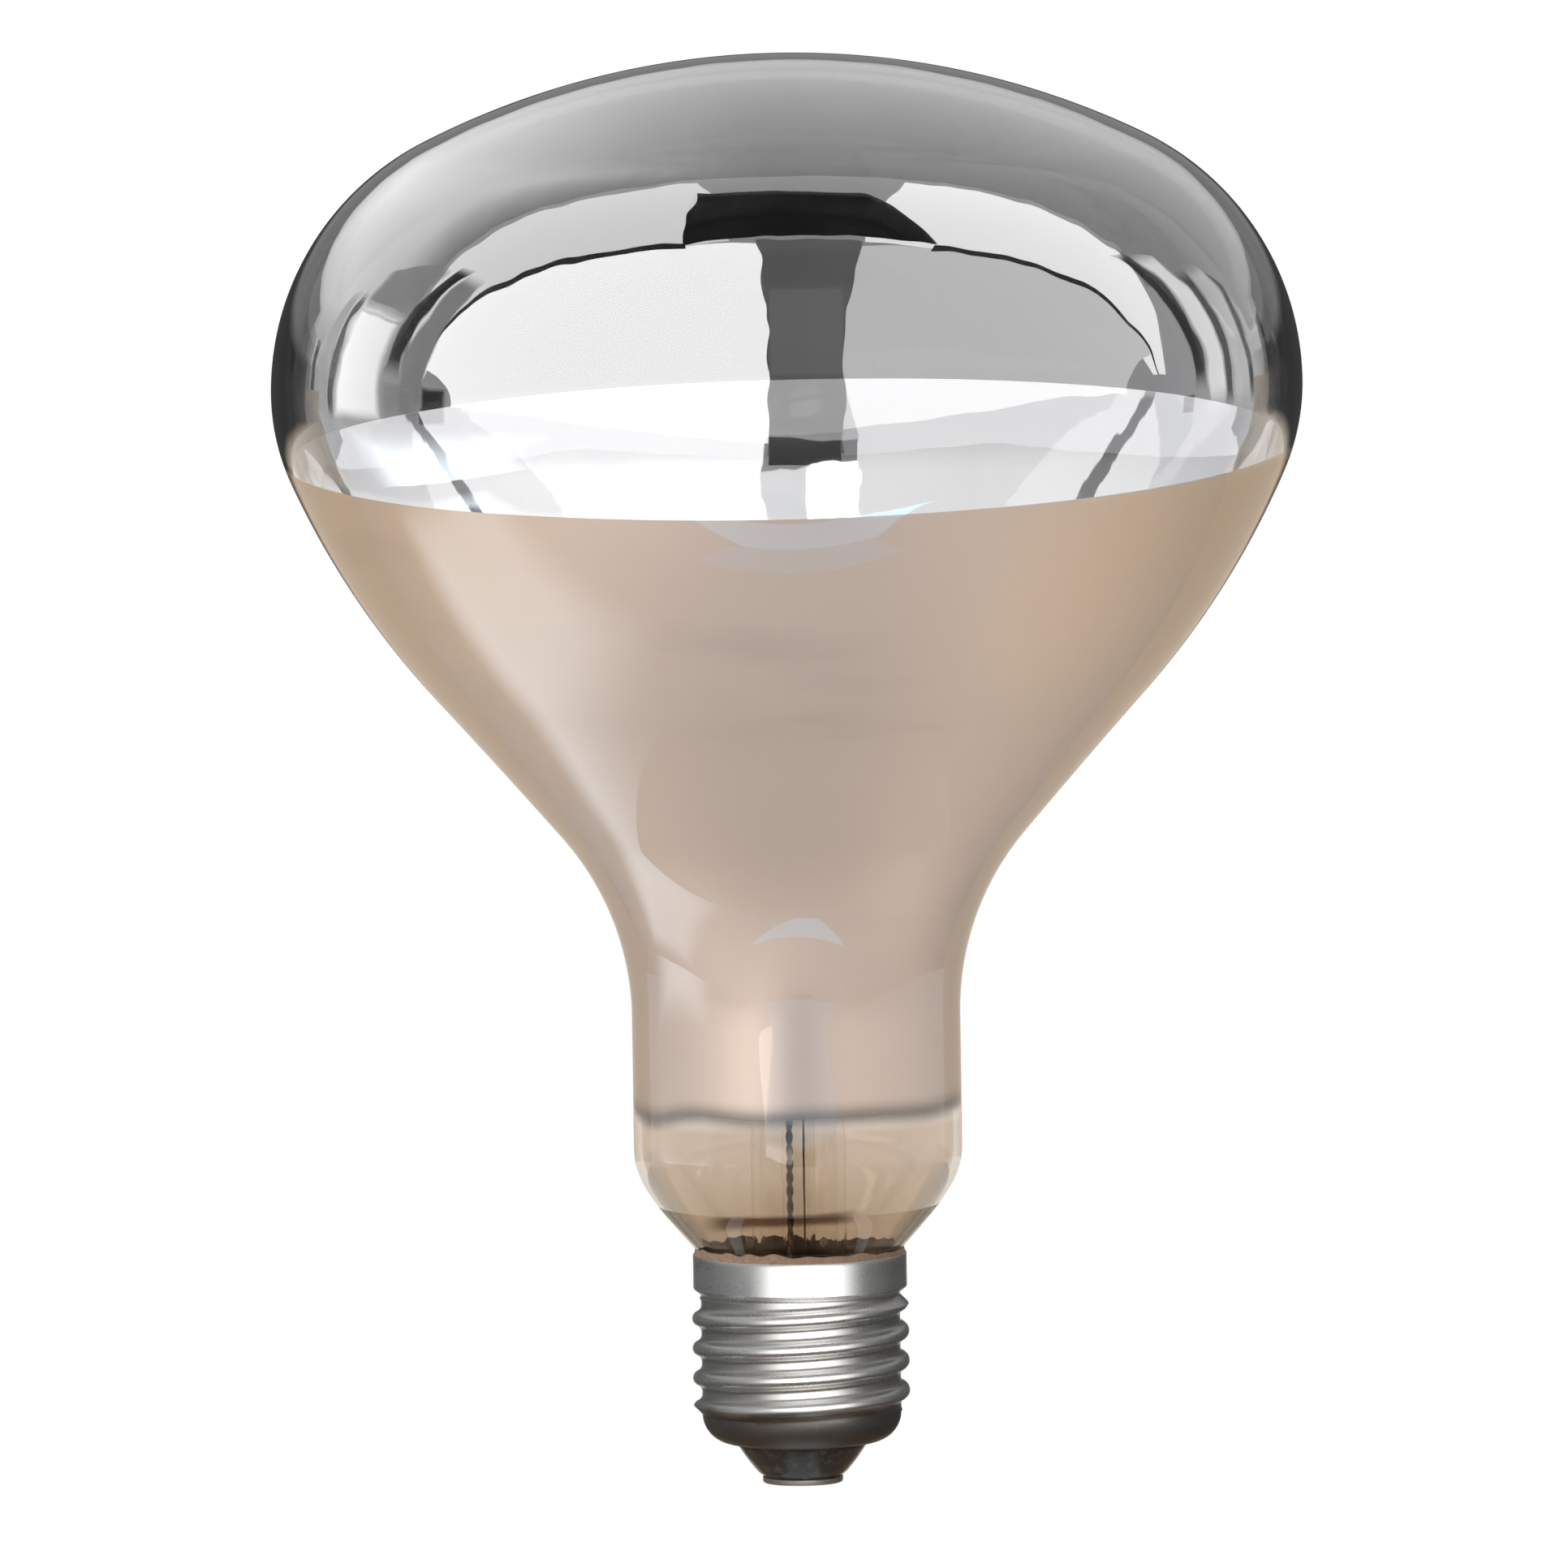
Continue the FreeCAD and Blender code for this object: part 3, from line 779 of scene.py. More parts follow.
def wobble(around: np.ndarray, seed: int, waves: int = 9) -> np.ndarray:
    """Smooth closed wave round the lamp, the same on every run.

    Args:
        around: angles.
        seed: seed of the draw.
        waves: number of waves that are added up.

    Returns:
        A height of about one at each angle.
    """
    draw = np.random.default_rng(seed)
    total = np.zeros_like(around)
    for count in range(1, waves + 1):
        wave = np.sin(count * around + draw.uniform(0, 2 * math.pi))
        total += wave * draw.uniform(0.3, 1.0) / math.sqrt(count)
    return total / 2


def settle(piece: bpy.types.Object, slot: Slot, *nodes: str) -> None:
    """Let a piece ride on the lamp.

    Args:
        piece: the piece.
        slot: its material slot.
        nodes: nodes of the frame that it stands for.
    """
    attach(piece, BODY)
    if nodes:
        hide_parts(*nodes)
    LOG.info("%s: %d faces, slot %s", piece.name, len(piece.data.polygons), slot.value)


def dress(finish: Finish, slot: Slot, *nodes: str) -> None:
    """Give solids of the frame their finish.

    Args:
        finish: the finish.
        slot: their material slot.
        nodes: nodes of the frame.
    """
    material = finish.material()
    for node in nodes:
        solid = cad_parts[node]
        for place in solid.material_slots:
            place.material = material
        LOG.info("%s: dressed, slot %s", node, slot.value)


@dataclass(frozen=True)
class Arc:
    """One arc of a turned outline, from a start along a direction to an end."""

    start: Vector
    along: Vector
    end: Vector

    def sample(self, step: float) -> list[tuple[Vector, Vector]]:
        """Points of the arc without its end.

        Args:
            step: longest distance between two points.

        Returns:
            Each point with its outward normal.
        """
        straight = 1e-5
        normal = Vector((self.along.y, -self.along.x))
        chord = self.end - self.start
        count = max(3, math.ceil(chord.length / step))
        bow = 2 * normal.dot(chord) / chord.length_squared
        if abs(bow) < straight:
            return [(self.start + chord * (index / count), normal) for index in range(count)]
        centre = self.start + normal / bow
        arm = self.start - centre
        last = self.end - centre
        sweep = math.atan2(arm.x * last.y - arm.y * last.x, arm.dot(last))
        places = []
        for index in range(count):
            c, s = math.cos(sweep * index / count), math.sin(sweep * index / count)
            spoke = Vector((c * arm.x - s * arm.y, s * arm.x + c * arm.y))
            places.append((centre + spoke, spoke.normalized() * (-1 if bow > 0 else 1)))
        return places


@dataclass(frozen=True)
class BulbOutline:
    """Outer outline of the bulb in millimetres, as arcs that meet smoothly."""

    bulb_diameter: float = 125.0
    equator_height: float = 134.0
    face_height: float = 40.4
    face_bias: float = 0.9
    cone_diameter: float = 86.2
    cone_height: float = 96.8
    cone_angle: float = 41.9
    bowl_bias: float = 2.85
    throat_height: float = 57.6
    throat_bias: float = 1.1
    neck_diameter: float = 39.9
    neck_start_height: float = 41.5
    shoulder_diameter: float = 31.6
    shoulder_height: float = 32.8
    shoulder_angle: float = 41.0
    shoulder_bias: float = 1.0
    neck_end_diameter: float = 21.4
    neck_end_fillet: float = 5.0
    seal_height: float = 20.0
    step: float = 0.9

    @staticmethod
    def slope(angle: float) -> Vector:
        """Direction that leans out from the axis by an angle in degrees."""
        return Vector((math.sin(math.radians(angle)), math.cos(math.radians(angle))))

    @staticmethod
    def two_arcs(start: Vector, leave: Vector, end: Vector, arrive: Vector, bias: float) -> list[Arc]:
        """Two arcs that meet smoothly between two points.

        Args:
            start: first point.
            leave: direction at the first point.
            end: last point.
            arrive: direction at the last point.
            bias: reach of the first arc against that of the second.

        Returns:
            The two arcs.
        """
        chord = end - start
        a = 2 * bias * (leave.dot(arrive) - 1)
        b = -2 * chord.dot(leave * bias + arrive)
        c = chord.dot(chord)
        reach = (-b - math.sqrt(b * b - 4 * a * c)) / (2 * a)
        first = start + leave * (bias * reach)
        run = (end - arrive * reach - first).normalized()
        joint = first + run * (bias * reach)
        return [Arc(start, leave, joint), Arc(joint, run, end)]

    def arcs(self) -> list[Arc]:
        """Work out the outline.

        Returns:
            Arcs from the sealed edge up to the apex of the face.
        """
        up = Vector((0.0, 1.0))
        end_radius = self.neck_end_diameter / 2
        flank = self.slope(self.shoulder_angle)
        lean = self.slope(self.cone_angle)
        flank_point = Vector((self.shoulder_diameter / 2, self.shoulder_height))
        corner = self.shoulder_height - (self.shoulder_diameter / 2 - end_radius) * flank.y / flank.x
        tangent = self.neck_end_fillet * math.tan(math.radians(self.shoulder_angle / 2))
        fillet_start = Vector((end_radius, corner - tangent))
        fillet_end = Vector((end_radius, corner)) + flank * tangent
        neck_start = Vector((self.neck_diameter / 2, self.neck_start_height))
        throat = Vector((self.neck_diameter / 2, self.throat_height))
        cone = Vector((self.cone_diameter / 2, self.cone_height))
        equator = Vector((self.bulb_diameter / 2, self.equator_height))
        apex = Vector((0.0, self.equator_height + self.face_height))
        made = [Arc(Vector((end_radius, self.seal_height)), up, fillet_start)]
        made.append(Arc(fillet_start, up, fillet_end))
        made.append(Arc(fillet_end, flank, flank_point))
        made += self.two_arcs(flank_point, flank, neck_start, up, self.shoulder_bias)
        made.append(Arc(neck_start, up, throat))
        made += self.two_arcs(throat, up, cone, lean, self.throat_bias)
        made += self.two_arcs(cone, lean, equator, up, self.bowl_bias)
        made += self.two_arcs(equator, up, apex, self.slope(-90), self.face_bias)
        return made

    def path(self, inset: float) -> np.ndarray:
        """Outline moved inward.

        Args:
            inset: distance from the outer face.

        Returns:
            Radius and height from the sealed edge to the apex.
        """
        places = [place - normal * inset for arc in self.arcs() for place, normal in arc.sample(self.step)]
        places.append(Vector((0.0, self.equator_height + self.face_height - inset)))
        return np.array(places)

    def radius(self, height: np.ndarray, inset: float) -> np.ndarray:
        """Radius at each height, moved inward by an inset."""
        path = self.path(inset)
        return np.interp(height, path[:, 1], path[:, 0])


@dataclass
class GlassEnvelope:
    """Blown bulb with its outer and inner face."""

    outline: BulbOutline
    wall: float = 1.0
    inner_mirror: float = 0.2
    segments: int = 224

    def build(self) -> None:
        """Make and dress the envelope."""
        outer = self.outline.path(0.0)[::-1]
        inner = self.outline.path(self.wall)
        grid = turned(np.concatenate([outer, inner]), self.segments)
        bands = [0] * len(outer) + [1] * len(inner)
        finishes = (BulbGlass("bulb_glass_outer", 1.0, 1.0),
                    BulbGlass("bulb_glass_inner", 0.0, self.inner_mirror))
        mesh = skin("bulb_glass", grid, bands)
        piece = new_piece("bulb_glass", mesh, [finish.material() for finish in finishes])
        settle(piece, Slot.CLEAR_GLASS, "glass_envelope")


@dataclass
class MirrorFilm:
    """Film inside bowl and neck: champagne outside, a mirror inside, with a wandering lower edge."""

    outline: BulbOutline
    wall: float = 1.0
    sink: float = 0.03
    thickness: float = 0.15
    top: float = 126.6
    lean: float = 3.9
    side_lift: float = 0.7
    top_wander: float = 0.08
    top_seed: int = 3
    bottom: float = 45.0
    bottom_wander: float = 0.8
    bottom_seed: int = 11
    rows: int = 150
    crowding: float = 1.2
    segments: int = 224

    def build(self) -> None:
        """Make and dress the film, whose mesh carries its height over the lower edge as "rise"."""
        around = circle(self.segments)
        climb = self.outline.radius(self.top, self.wall) * math.tan(math.radians(self.lean))
        high = self.top + climb * np.sin(around) + self.side_lift * np.cos(around)
        high += self.top_wander * wobble(around, self.top_seed)
        low = self.bottom + self.bottom_wander * wobble(around, self.bottom_seed)
        share = np.linspace(0.0, 1.0, self.rows)[:, None] ** self.crowding
        height = low + (high - low) * share
        outside = self.wall - self.sink
        faces = [polar(self.outline.radius(height, inset), around, height)
                 for inset in (outside, outside + self.thickness)]
        grid = np.concatenate([faces[0], faces[1][::-1]])
        bands = [0] * self.rows + [1] * (self.rows - 1) + [0]
        mesh = skin("mirror_film", grid, bands, loop=True)
        mark(mesh, "rise", np.concatenate([height - low, (height - low)[::-1]]) * MM)
        piece = new_piece("mirror_film", mesh, [FilmBack().material(), FilmMirror().material()])
        settle(piece, Slot.MIRROR_FILM, "mirror_coating")


@dataclass
class FilamentMount:
    """Coil, leads, supports and the glass stem that carries them."""

    turn: float = 72.0
    height: float = 98.0
    ring: float = 13.0
    coil_radius: float = 0.65
    coil_pitch: float = 0.55
    coil_points: int = 12
    wire_radius: float = 0.14
    wire_sides: int = 6
    gap_angle: float = 60.0
    tail_drop: float = 2.0
    tail_radius: float = 0.3
    tail_sides: int = 12
    tail_bend: float = 0.4
    lead_offset: float = 3.35
    lead_joint: float = 51.5
    lead_corner: float = 14.3
    lead_axis: float = 12.3
    lead_end: float = 1.65
    lead_bend: float = 1.0
    strands: int = 2
    strand_radius: float = 0.23
    strand_spread: float = 0.9
    strand_pitch: float = 3.4
    strand_sides: int = 8
    step: float = 0.2
    support_wire: Metal = Metal("support_wire", (0.42, 0.41, 0.40), (0.20, 0.19, 0.18), 0.5, 0.35, 4.0)
    nickel: Metal = Metal("nickel_lead", (0.52, 0.49, 0.45), (0.26, 0.22, 0.18), 0.5, 0.35, 3.0,
                          Grain.UPRIGHT)
    oxidised: Metal = Metal("oxidised_lead", (0.20, 0.13, 0.09), (0.05, 0.035, 0.03), 0.7, 0.45, 3.0,
                            Grain.UPRIGHT)
    tungsten: Metal = Metal("tungsten", (0.34, 0.33, 0.33), (0.16, 0.15, 0.16), 0.5, 0.4, 5.0)

    def build(self) -> None:
        """Make the coil and the twisted lead, and dress the solids beside them."""
        dress(StemGlass(), Slot.STEM_GLASS, "stem", "exhaust_tube", "mount_rod")
        dress(self.support_wire, Slot.MOLYBDENUM, "filament_supports")
        dress(self.nickel, Slot.NICKEL, "inner_lead_front", "inner_lead_back")
        dress(self.oxidised, Slot.COPPER, "outer_lead_rim")
        self.coil()
        self.lead()

    def spin(self, points: np.ndarray) -> np.ndarray:
        """Turn points into the mount's plane.

        Args:
            points: points by three, drawn with the leads along X.

        Returns:
            The points, turned about the axis.
        """
        c, s = math.cos(math.radians(self.turn)), math.sin(math.radians(self.turn))
        x, y = points[:, 0], points[:, 1]
        return np.stack([c * x - s * y, s * x + c * y, points[:, 2]], axis=1)

    def coil(self) -> None:
        """Make the fine helix bent to an open ring, with a straight tail at each end."""
        first = math.radians(90 + self.gap_angle / 2)
        arc = math.radians(360 - self.gap_angle)
        turns = round(arc * self.ring / self.coil_pitch)
        share = np.linspace(0.0, 1.0, turns * self.coil_points + 1)
        swing = 2 * math.pi * turns * share
        reach = self.ring + self.coil_radius * np.cos(swing)
        ring = polar(reach, first + arc * share, self.height + self.coil_radius * np.sin(swing))
        wire = self.tungsten.material()
        mesh = skin("filament_coil", tube(self.spin(ring), self.wire_radius, self.wire_sides))
        coil = new_piece("filament_coil", mesh, [wire])
        outer = self.ring + self.coil_radius
        for index, place in enumerate((first, first + arc)):
            c, s = math.cos(place), math.sin(place)
            ends = [(self.ring * c, self.ring * s, self.height - self.tail_drop),
                    (self.ring * c, self.ring * s, self.height - self.coil_radius),
                    (outer * c, outer * s, self.height)]
            path = self.spin(rounded(ends, self.step, self.tail_bend))
            mesh = skin("tail", tube(path, self.tail_radius, self.tail_sides))
            settle(new_piece(f"filament_tail_{index + 1}", mesh, [wire]), Slot.TUNGSTEN)
        settle(coil, Slot.TUNGSTEN, "filament")

    def lead(self) -> None:
        """Make the strands twisted down the stem, over to the axis and into the eyelet."""
        corners = [(-self.lead_offset, 0.0, self.lead_joint), (-self.lead_offset, 0.0, self.lead_corner),
                   (0.0, 0.0, self.lead_axis), (0.0, 0.0, self.lead_end)]
        path = self.spin(rounded(corners, self.step, self.lead_bend))
        swing = 2 * math.pi * np.arange(len(path)) * self.step / self.strand_pitch
        wire = self.oxidised.material()
        for index in range(self.strands):
            lag = 2 * math.pi * index / self.strands
            shift = polar(self.strand_radius * self.strand_spread, swing + lag, 0.0)
            mesh = skin("strand", tube(path + shift, self.strand_radius, self.strand_sides))
            piece = new_piece(f"contact_lead_strand_{index + 1}", mesh, [wire])
            settle(piece, Slot.COPPER, "outer_lead_contact")


@dataclass
class ScrewCap:
    """Screw shell, black insulator, centre contact with its solder, rim solder and cement."""

    outline: BulbOutline
    rim: float = 28.5
    rim_edge: float = 0.12
    collar_radius: float = 13.0
    collar_length: float = 4.3
    collar_ease: Span = (0.15, 0.2)
    collar_start: float = 0.5
    collar_rows: int = 8
    flare: float = 0.6
    root: float = 12.1
    crest: float = 13.2
    pitch: float = 25.4 / 7.0
    root_flat: float = 0.3
    runout: float = 0.3
    thread_start: float = 4.3
    thread_step: float = 0.12
    wall: float = 0.3
    crease: float = 35.0
    end_radius: float = 3.6
    end_height: float = 5.4
    end_points: int = 14
    hole: float = 7.9
    skirt_gap: float = 0.2
    insulator_top: float = 10.2
    insulator_belly: float = 0.15
    nose_radius: float = 4.9
    nose_ease: Span = (0.25, 0.2)
    contact_radius: float = 4.9
    contact_thickness: float = 0.75
    contact_roll: float = 0.3
    contact_ease: Span = (0.1, 0.08)
    eyelet_radius: float = 1.5
    eyelet_bore: float = 0.85
    solder_drop: float = 0.45
    solder_radius: float = 2.7
    solder_tip: float = 0.02
    solder_plug: float = 1.2
    solder_swell: float = 0.05
    solder_seed: int = 23
    bead_height: float = 0.7
    bead_depth: float = 2.0
    bead_gap: float = 0.02
    bead_lump: float = 0.4
    bead_least: float = 0.3
    bead_swell: Span = (0.1, 0.06)
    bead_hollow: float = 1.6
    bead_seed: int = 7
    bead_waves: int = 36
    shell_segments: int = 176
    small_segments: int = 96
    solder_segments: int = 72
    bead_segments: int = 240
    plate: Metal = Metal("contact_plate", (0.60, 0.57, 0.52), (0.30, 0.26, 0.21), 0.5, 0.3, 1.5,
                         Grain.ROUND)
    contact_tin: Metal = Metal("contact_tin", (0.62, 0.61, 0.60), (0.33, 0.31, 0.29), 0.5, 0.3, 2.5)
    rim_tin: Metal = Metal("rim_solder", (0.55, 0.54, 0.52), (0.30, 0.28, 0.25), 0.5, 0.35, 3.0)

    def build(self) -> None:
        """Make and dress every piece of the cap."""
        self.shell()
        self.insulator()
        self.contact()
        self.solder()
        self.cement()
        dress(self.rim_tin, Slot.SOLDER, "rim_solder")

    def end_arc(self, inset: float) -> np.ndarray:
        """Rounded lower end of the shell.

        Args:
            inset: distance from the outer face.

        Returns:
            Radius and height from the hole to the plain root.
        """
        angle = np.linspace(-math.pi / 2, 0.0, self.end_points)
        radius = self.end_radius - inset
        centre = (self.root - self.end_radius, self.end_height + self.end_radius)
        arc = np.stack([centre[0] + radius * np.cos(angle), centre[1] + radius * np.sin(angle)], axis=1)
        return np.concatenate([[(self.hole, arc[0, 1])], arc])

    def ridge(self, height: np.ndarray, around: np.ndarray) -> np.ndarray:
        """Rounded thread with equal crest and root arcs and a run-out at both ends.

        Args:
            height: heights on the shell.
            around: angles round it.

        Returns:
            The radius at each height and angle.
        """
        depth = self.crest - self.root
        half = (self.pitch - self.root_flat) / 2
        arc = (half * half + depth * depth) / (4 * depth)
        turns = (height - self.thread_start) / self.pitch - around / (2 * math.pi)
        off = np.abs((turns + 0.5) % 1.0 - 0.5) * self.pitch
        crown = self.crest - arc + np.sqrt(arc * arc - np.minimum(off, half / 2) ** 2)
        foot = np.clip(half - off, 0.0, half / 2)
        valley = self.root + arc - np.sqrt(arc * arc - foot * foot)
        radius = np.where(off < half / 2, crown, valley)
        low = self.end_height + self.end_radius
        high = self.rim - self.collar_length - self.flare - self.runout
        slope = self.root + np.minimum(height - low, high - height)
        return np.maximum(np.minimum(radius, slope), self.root)

    def shell(self) -> None:
        """Make the thin sheet shell with collar, thread and rounded end."""
        around = circle(self.shell_segments)[None, :]
        foot = self.rim - self.collar_length
        start = self.end_height + self.end_radius
        height = np.arange(start, foot - self.flare, self.thread_step)[1:, None]
        thread = polar(self.ridge(height, around), around, height)
        edge = self.rim_edge
        outside = self.collar_radius
        inside = outside - self.wall
        narrow, rise = self.collar_ease
        path = [(self.root, foot - self.flare), (outside - narrow, foot), (outside, foot + rise)]
        plain = np.linspace(foot + self.collar_start, self.rim - edge, self.collar_rows)
        path += [(outside, place) for place in plain]
        path += [(outside - edge / 3, self.rim - edge / 3), (outside - edge, self.rim), (inside, self.rim)]
        path += [(inside, foot + self.wall), (self.root - self.wall, foot + self.wall)]
        closing = np.concatenate([path, self.end_arc(self.wall)[::-1]])
        low = turned(self.end_arc(0.0), self.shell_segments)
        grid = np.concatenate([low, thread, turned(closing, self.shell_segments)])
        mesh = skin("screw_shell", grid, loop=True, crease=self.crease)
        settle(new_piece("screw_shell", mesh, [CapMetal().material()]), Slot.CAP_METAL, "cap_shell")

    def insulator(self) -> None:
        """Make the black glass that fills the shell's end and narrows to the contact."""
        nose = self.solder_drop + self.contact_thickness
        skirt = self.end_height - self.skirt_gap
        narrow, rise = self.nose_ease
        path = [(self.eyelet_radius, self.insulator_top), (self.eyelet_radius, nose)]
        path += [(self.nose_radius - narrow, nose), (self.nose_radius, nose + rise)]
        for share in np.linspace(0.15, 0.93, 8):
            belly = self.insulator_belly * math.sin(math.pi * share)
            radius = self.nose_radius + (self.hole - self.nose_radius) * share
            path.append((radius + belly, nose + (skirt - nose) * share))
        path += [(self.hole, skirt), (self.hole, self.end_height + self.wall)]
        top = [(self.root - self.wall, self.insulator_top)]
        grid = turned(np.concatenate([path, self.end_arc(self.wall)[1:], top]), self.small_segments)
        mesh = skin("black_insulator", grid, loop=True)
        piece = new_piece("black_insulator", mesh, [BlackGlass().material()])
        settle(piece, Slot.BLACK_GLASS, "cap_insulator")

    def contact(self) -> None:
        """Make the contact plate with a rolled edge and its eyelet."""
        low = self.solder_drop
        top = low + self.contact_thickness
        head = top + self.insulator_top
        roll = self.contact_roll
        centre = (self.contact_radius - roll, low + roll)
        narrow, drop = self.contact_ease
        path = [(self.eyelet_bore, low)]
        for angle in np.linspace(0, math.pi / 2, 6):
            path.append((centre[0] + roll * math.sin(angle), centre[1] - roll * math.cos(angle)))
        path += [(self.contact_radius, top - drop), (self.contact_radius - narrow, top)]
        path += [(self.eyelet_radius, top), (self.eyelet_radius, head), (self.eyelet_bore, head)]
        mesh = skin("centre_plate", turned(np.array(path), self.small_segments), loop=True)
        settle(new_piece("centre_plate", mesh, [self.plate.material()]), Slot.CONTACT_METAL, "centre_contact")

    def solder(self) -> None:
        """Make the low solder dome with a flattened tip and its plug in the eyelet."""
        spread = self.solder_radius - self.solder_tip
        dome = [(self.solder_tip + spread * share, self.solder_drop * share ** 3)
                for share in np.linspace(0.0, 1.0, 12)]
        plug = self.solder_drop + self.solder_plug
        path = [(0.0, 0.0), *dome, (self.eyelet_bore, self.solder_drop)]
        path += [(self.eyelet_bore, plug), (0.0, plug)]
        grid = turned(np.array(path), self.solder_segments)
        swell = 1.0 + self.solder_swell * wobble(circle(self.solder_segments), self.solder_seed)
        grid[2:len(dome) + 1, :, :2] *= swell[None, :, None]
        piece = new_piece("solder_dome", skin("solder_dome", grid), [self.contact_tin.material()])
        settle(piece, Slot.SOLDER, "contact_solder")

    def cement(self) -> None:
        """Make the lumpy cement between the glass and the rim, down inside the shell."""
        around = circle(self.bead_segments)
        lump = wobble(around, self.bead_seed, self.bead_waves)
        rise = np.maximum(self.bead_height + self.bead_lump * lump, self.bead_least)
        glass = self.outline.radius(np.full_like(around, self.rim), 0.0)
        inside = self.collar_radius - self.wall - self.bead_gap
        deep = self.rim - self.bead_depth
        swell, swell_lump = self.bead_swell
        rows = []
        for share in np.linspace(0.0, 1.0, 10):
            height = self.rim + rise * share
            wedge = (self.collar_radius - self.wall / 2 - glass) * (1 - share) ** self.bead_hollow
            bulge = (swell + swell_lump * lump) * math.sin(math.pi * share)
            rows.append((self.outline.radius(height, -self.bead_gap) + wedge + bulge, height))
        rows += [(self.outline.radius(deep, -self.bead_gap), deep), (inside, deep), (inside, self.rim)]
        grid = np.stack([polar(radius, around, height) for radius, height in rows])
        piece = new_piece("cement_bead", skin("cement_bead", grid, loop=True), [Cement().material()])
        settle(piece, Slot.CEMENT, "basing_cement")


class Seen(Enum):
    """Which rays show a card: light on everything, shine only, glass only, or shine and glass."""

    ALL = (True, True, True)
    SHINE = (False, True, False)
    GLASS = (False, False, True)
    BOTH = (False, True, True)


@dataclass(frozen=True)
class Card:
    """Glowing or dark card of the studio, which the camera doesn't see."""

    name: str
    radiance: float
    seen: Seen
    soft: float = field(default=0.0, kw_only=True)
    soft_ends: bool = field(default=True, kw_only=True)
    hue: Colour = field(default=(1.0, 0.99, 0.98), kw_only=True)

    def grid(self) -> np.ndarray:
        """Points of the card in millimetres, which each kind of card gives for itself."""
        raise NotImplementedError

    def build(self) -> None:
        """Make the card as a stage piece, whose mesh carries the way in from its soft edges as "edge"."""
        grid = self.grid()
        mesh = skin(self.name, grid, wrap=False)
        across, along = (1 - np.abs(np.linspace(-1, 1, count)) for count in grid.shape[:2])
        mark(mesh, "edge", np.minimum(across[:, None], along if self.soft_ends else np.ones_like(along)))
        finish = CardGlow(self.name, self.radiance, self.hue, self.soft)
        card = new_piece(self.name, mesh, [finish.material()])
        card.visible_camera = False
        card.visible_diffuse, card.visible_glossy, card.visible_transmission = self.seen.value
        card.visible_shadow = False


@dataclass(frozen=True)
class CurvedCard(Card):
    """Card bent about the lamp, between two angles off the middle plane and two angles up from the front."""

    off: Span
    rise: Span
    distance: float = 1300.0
    slant: float = 0.0
    middle: float = 130.0

    def grid(self) -> np.ndarray:
        """Points of the card.

        Returns:
            Rows by columns by three.
        """
        share = np.linspace(0.0, 1.0, 25)
        off = np.radians(self.off[0] + (self.off[1] - self.off[0]) * share)[:, None]
        lift = self.rise[0] + (self.rise[1] - self.rise[0]) * share[None, :] + self.slant * share[:, None]
        rise = np.radians(lift)
        reach = np.cos(off) * self.distance
        sides = (np.sin(off) * self.distance, -reach * np.cos(rise), self.middle + reach * np.sin(rise))
        return np.stack(np.broadcast_arrays(*sides), axis=-1)


@dataclass(frozen=True)
class FlatCard(Card):
    """Flat card with four corners."""

    corners: Corners

    def grid(self) -> np.ndarray:
        """Points of the card.

        Returns:
            Rows by columns by three.
        """
        a, b, c, d = (np.array(corner, float) for corner in self.corners)
        down = np.linspace(0.0, 1.0, 17)[:, None, None]
        over = np.linspace(0.0, 1.0, 17)[None, :, None]
        return a + (b - a) * down + ((d - a) + (c - d - b + a) * down) * over


@dataclass(frozen=True)
class ArcCard(Card):
    """Upright card bent round the lamp's axis, between two bearings from the front and two heights."""

    bearing: Span
    height: Span
    radius: float

    def grid(self) -> np.ndarray:
        """Points of the card.

        Returns:
            Rows by columns by three.
        """
        around = np.radians(np.linspace(*self.bearing, 49) - 90)[:, None]
        return polar(self.radius, around, np.linspace(*self.height, 9)[None, :])


@dataclass(frozen=True)
class RingCard(Card):
    """Flat ring round the lamp at one height."""

    height: float
    inner: float = 17.3
    outer: float = 50.0

    def grid(self) -> np.ndarray:
        """Points of the card.

        Returns:
            Rows by columns by three, with the first column again at the end.
        """
        around = np.linspace(0.0, 2 * math.pi, 73)
        return polar(np.linspace(self.inner, self.outer, 9)[:, None], around, self.height)


class Strip(NamedTuple):
    """Upright strip of a side wall, in millimetres from the lamp's axis and foot."""

    front: float
    rear: float
    low: float
    high: float
    radiance: float
    seen: Seen = Seen.SHINE


def wedge(depth: float, foot: Edge, head: Edge) -> Corners:
    """Corners of an upright card across the view, whose foot and head give left, right and height."""
    return ((foot[0], depth, foot[2]), (foot[1], depth, foot[2]),
            (head[1], depth, head[2]), (head[0], depth, head[2]))


def upright(depth: float, across: Span, height: Span) -> Corners:
    """Corners of an upright rectangle across the view."""
    return wedge(depth, (*across, height[0]), (*across, height[1]))


def sideways(across: float, depth: Span, height: Span) -> Corners:
    """Corners of an upright rectangle along the view."""
    return tuple((across, depth[y], height[z]) for y, z in ((0, 0), (1, 0), (1, 1), (0, 1)))


def level(height: float, across: Span, depth: Span) -> Corners:
    """Corners of a level rectangle."""
    return tuple((across[x], depth[y], height) for x, y in ((0, 0), (1, 0), (1, 1), (0, 1)))


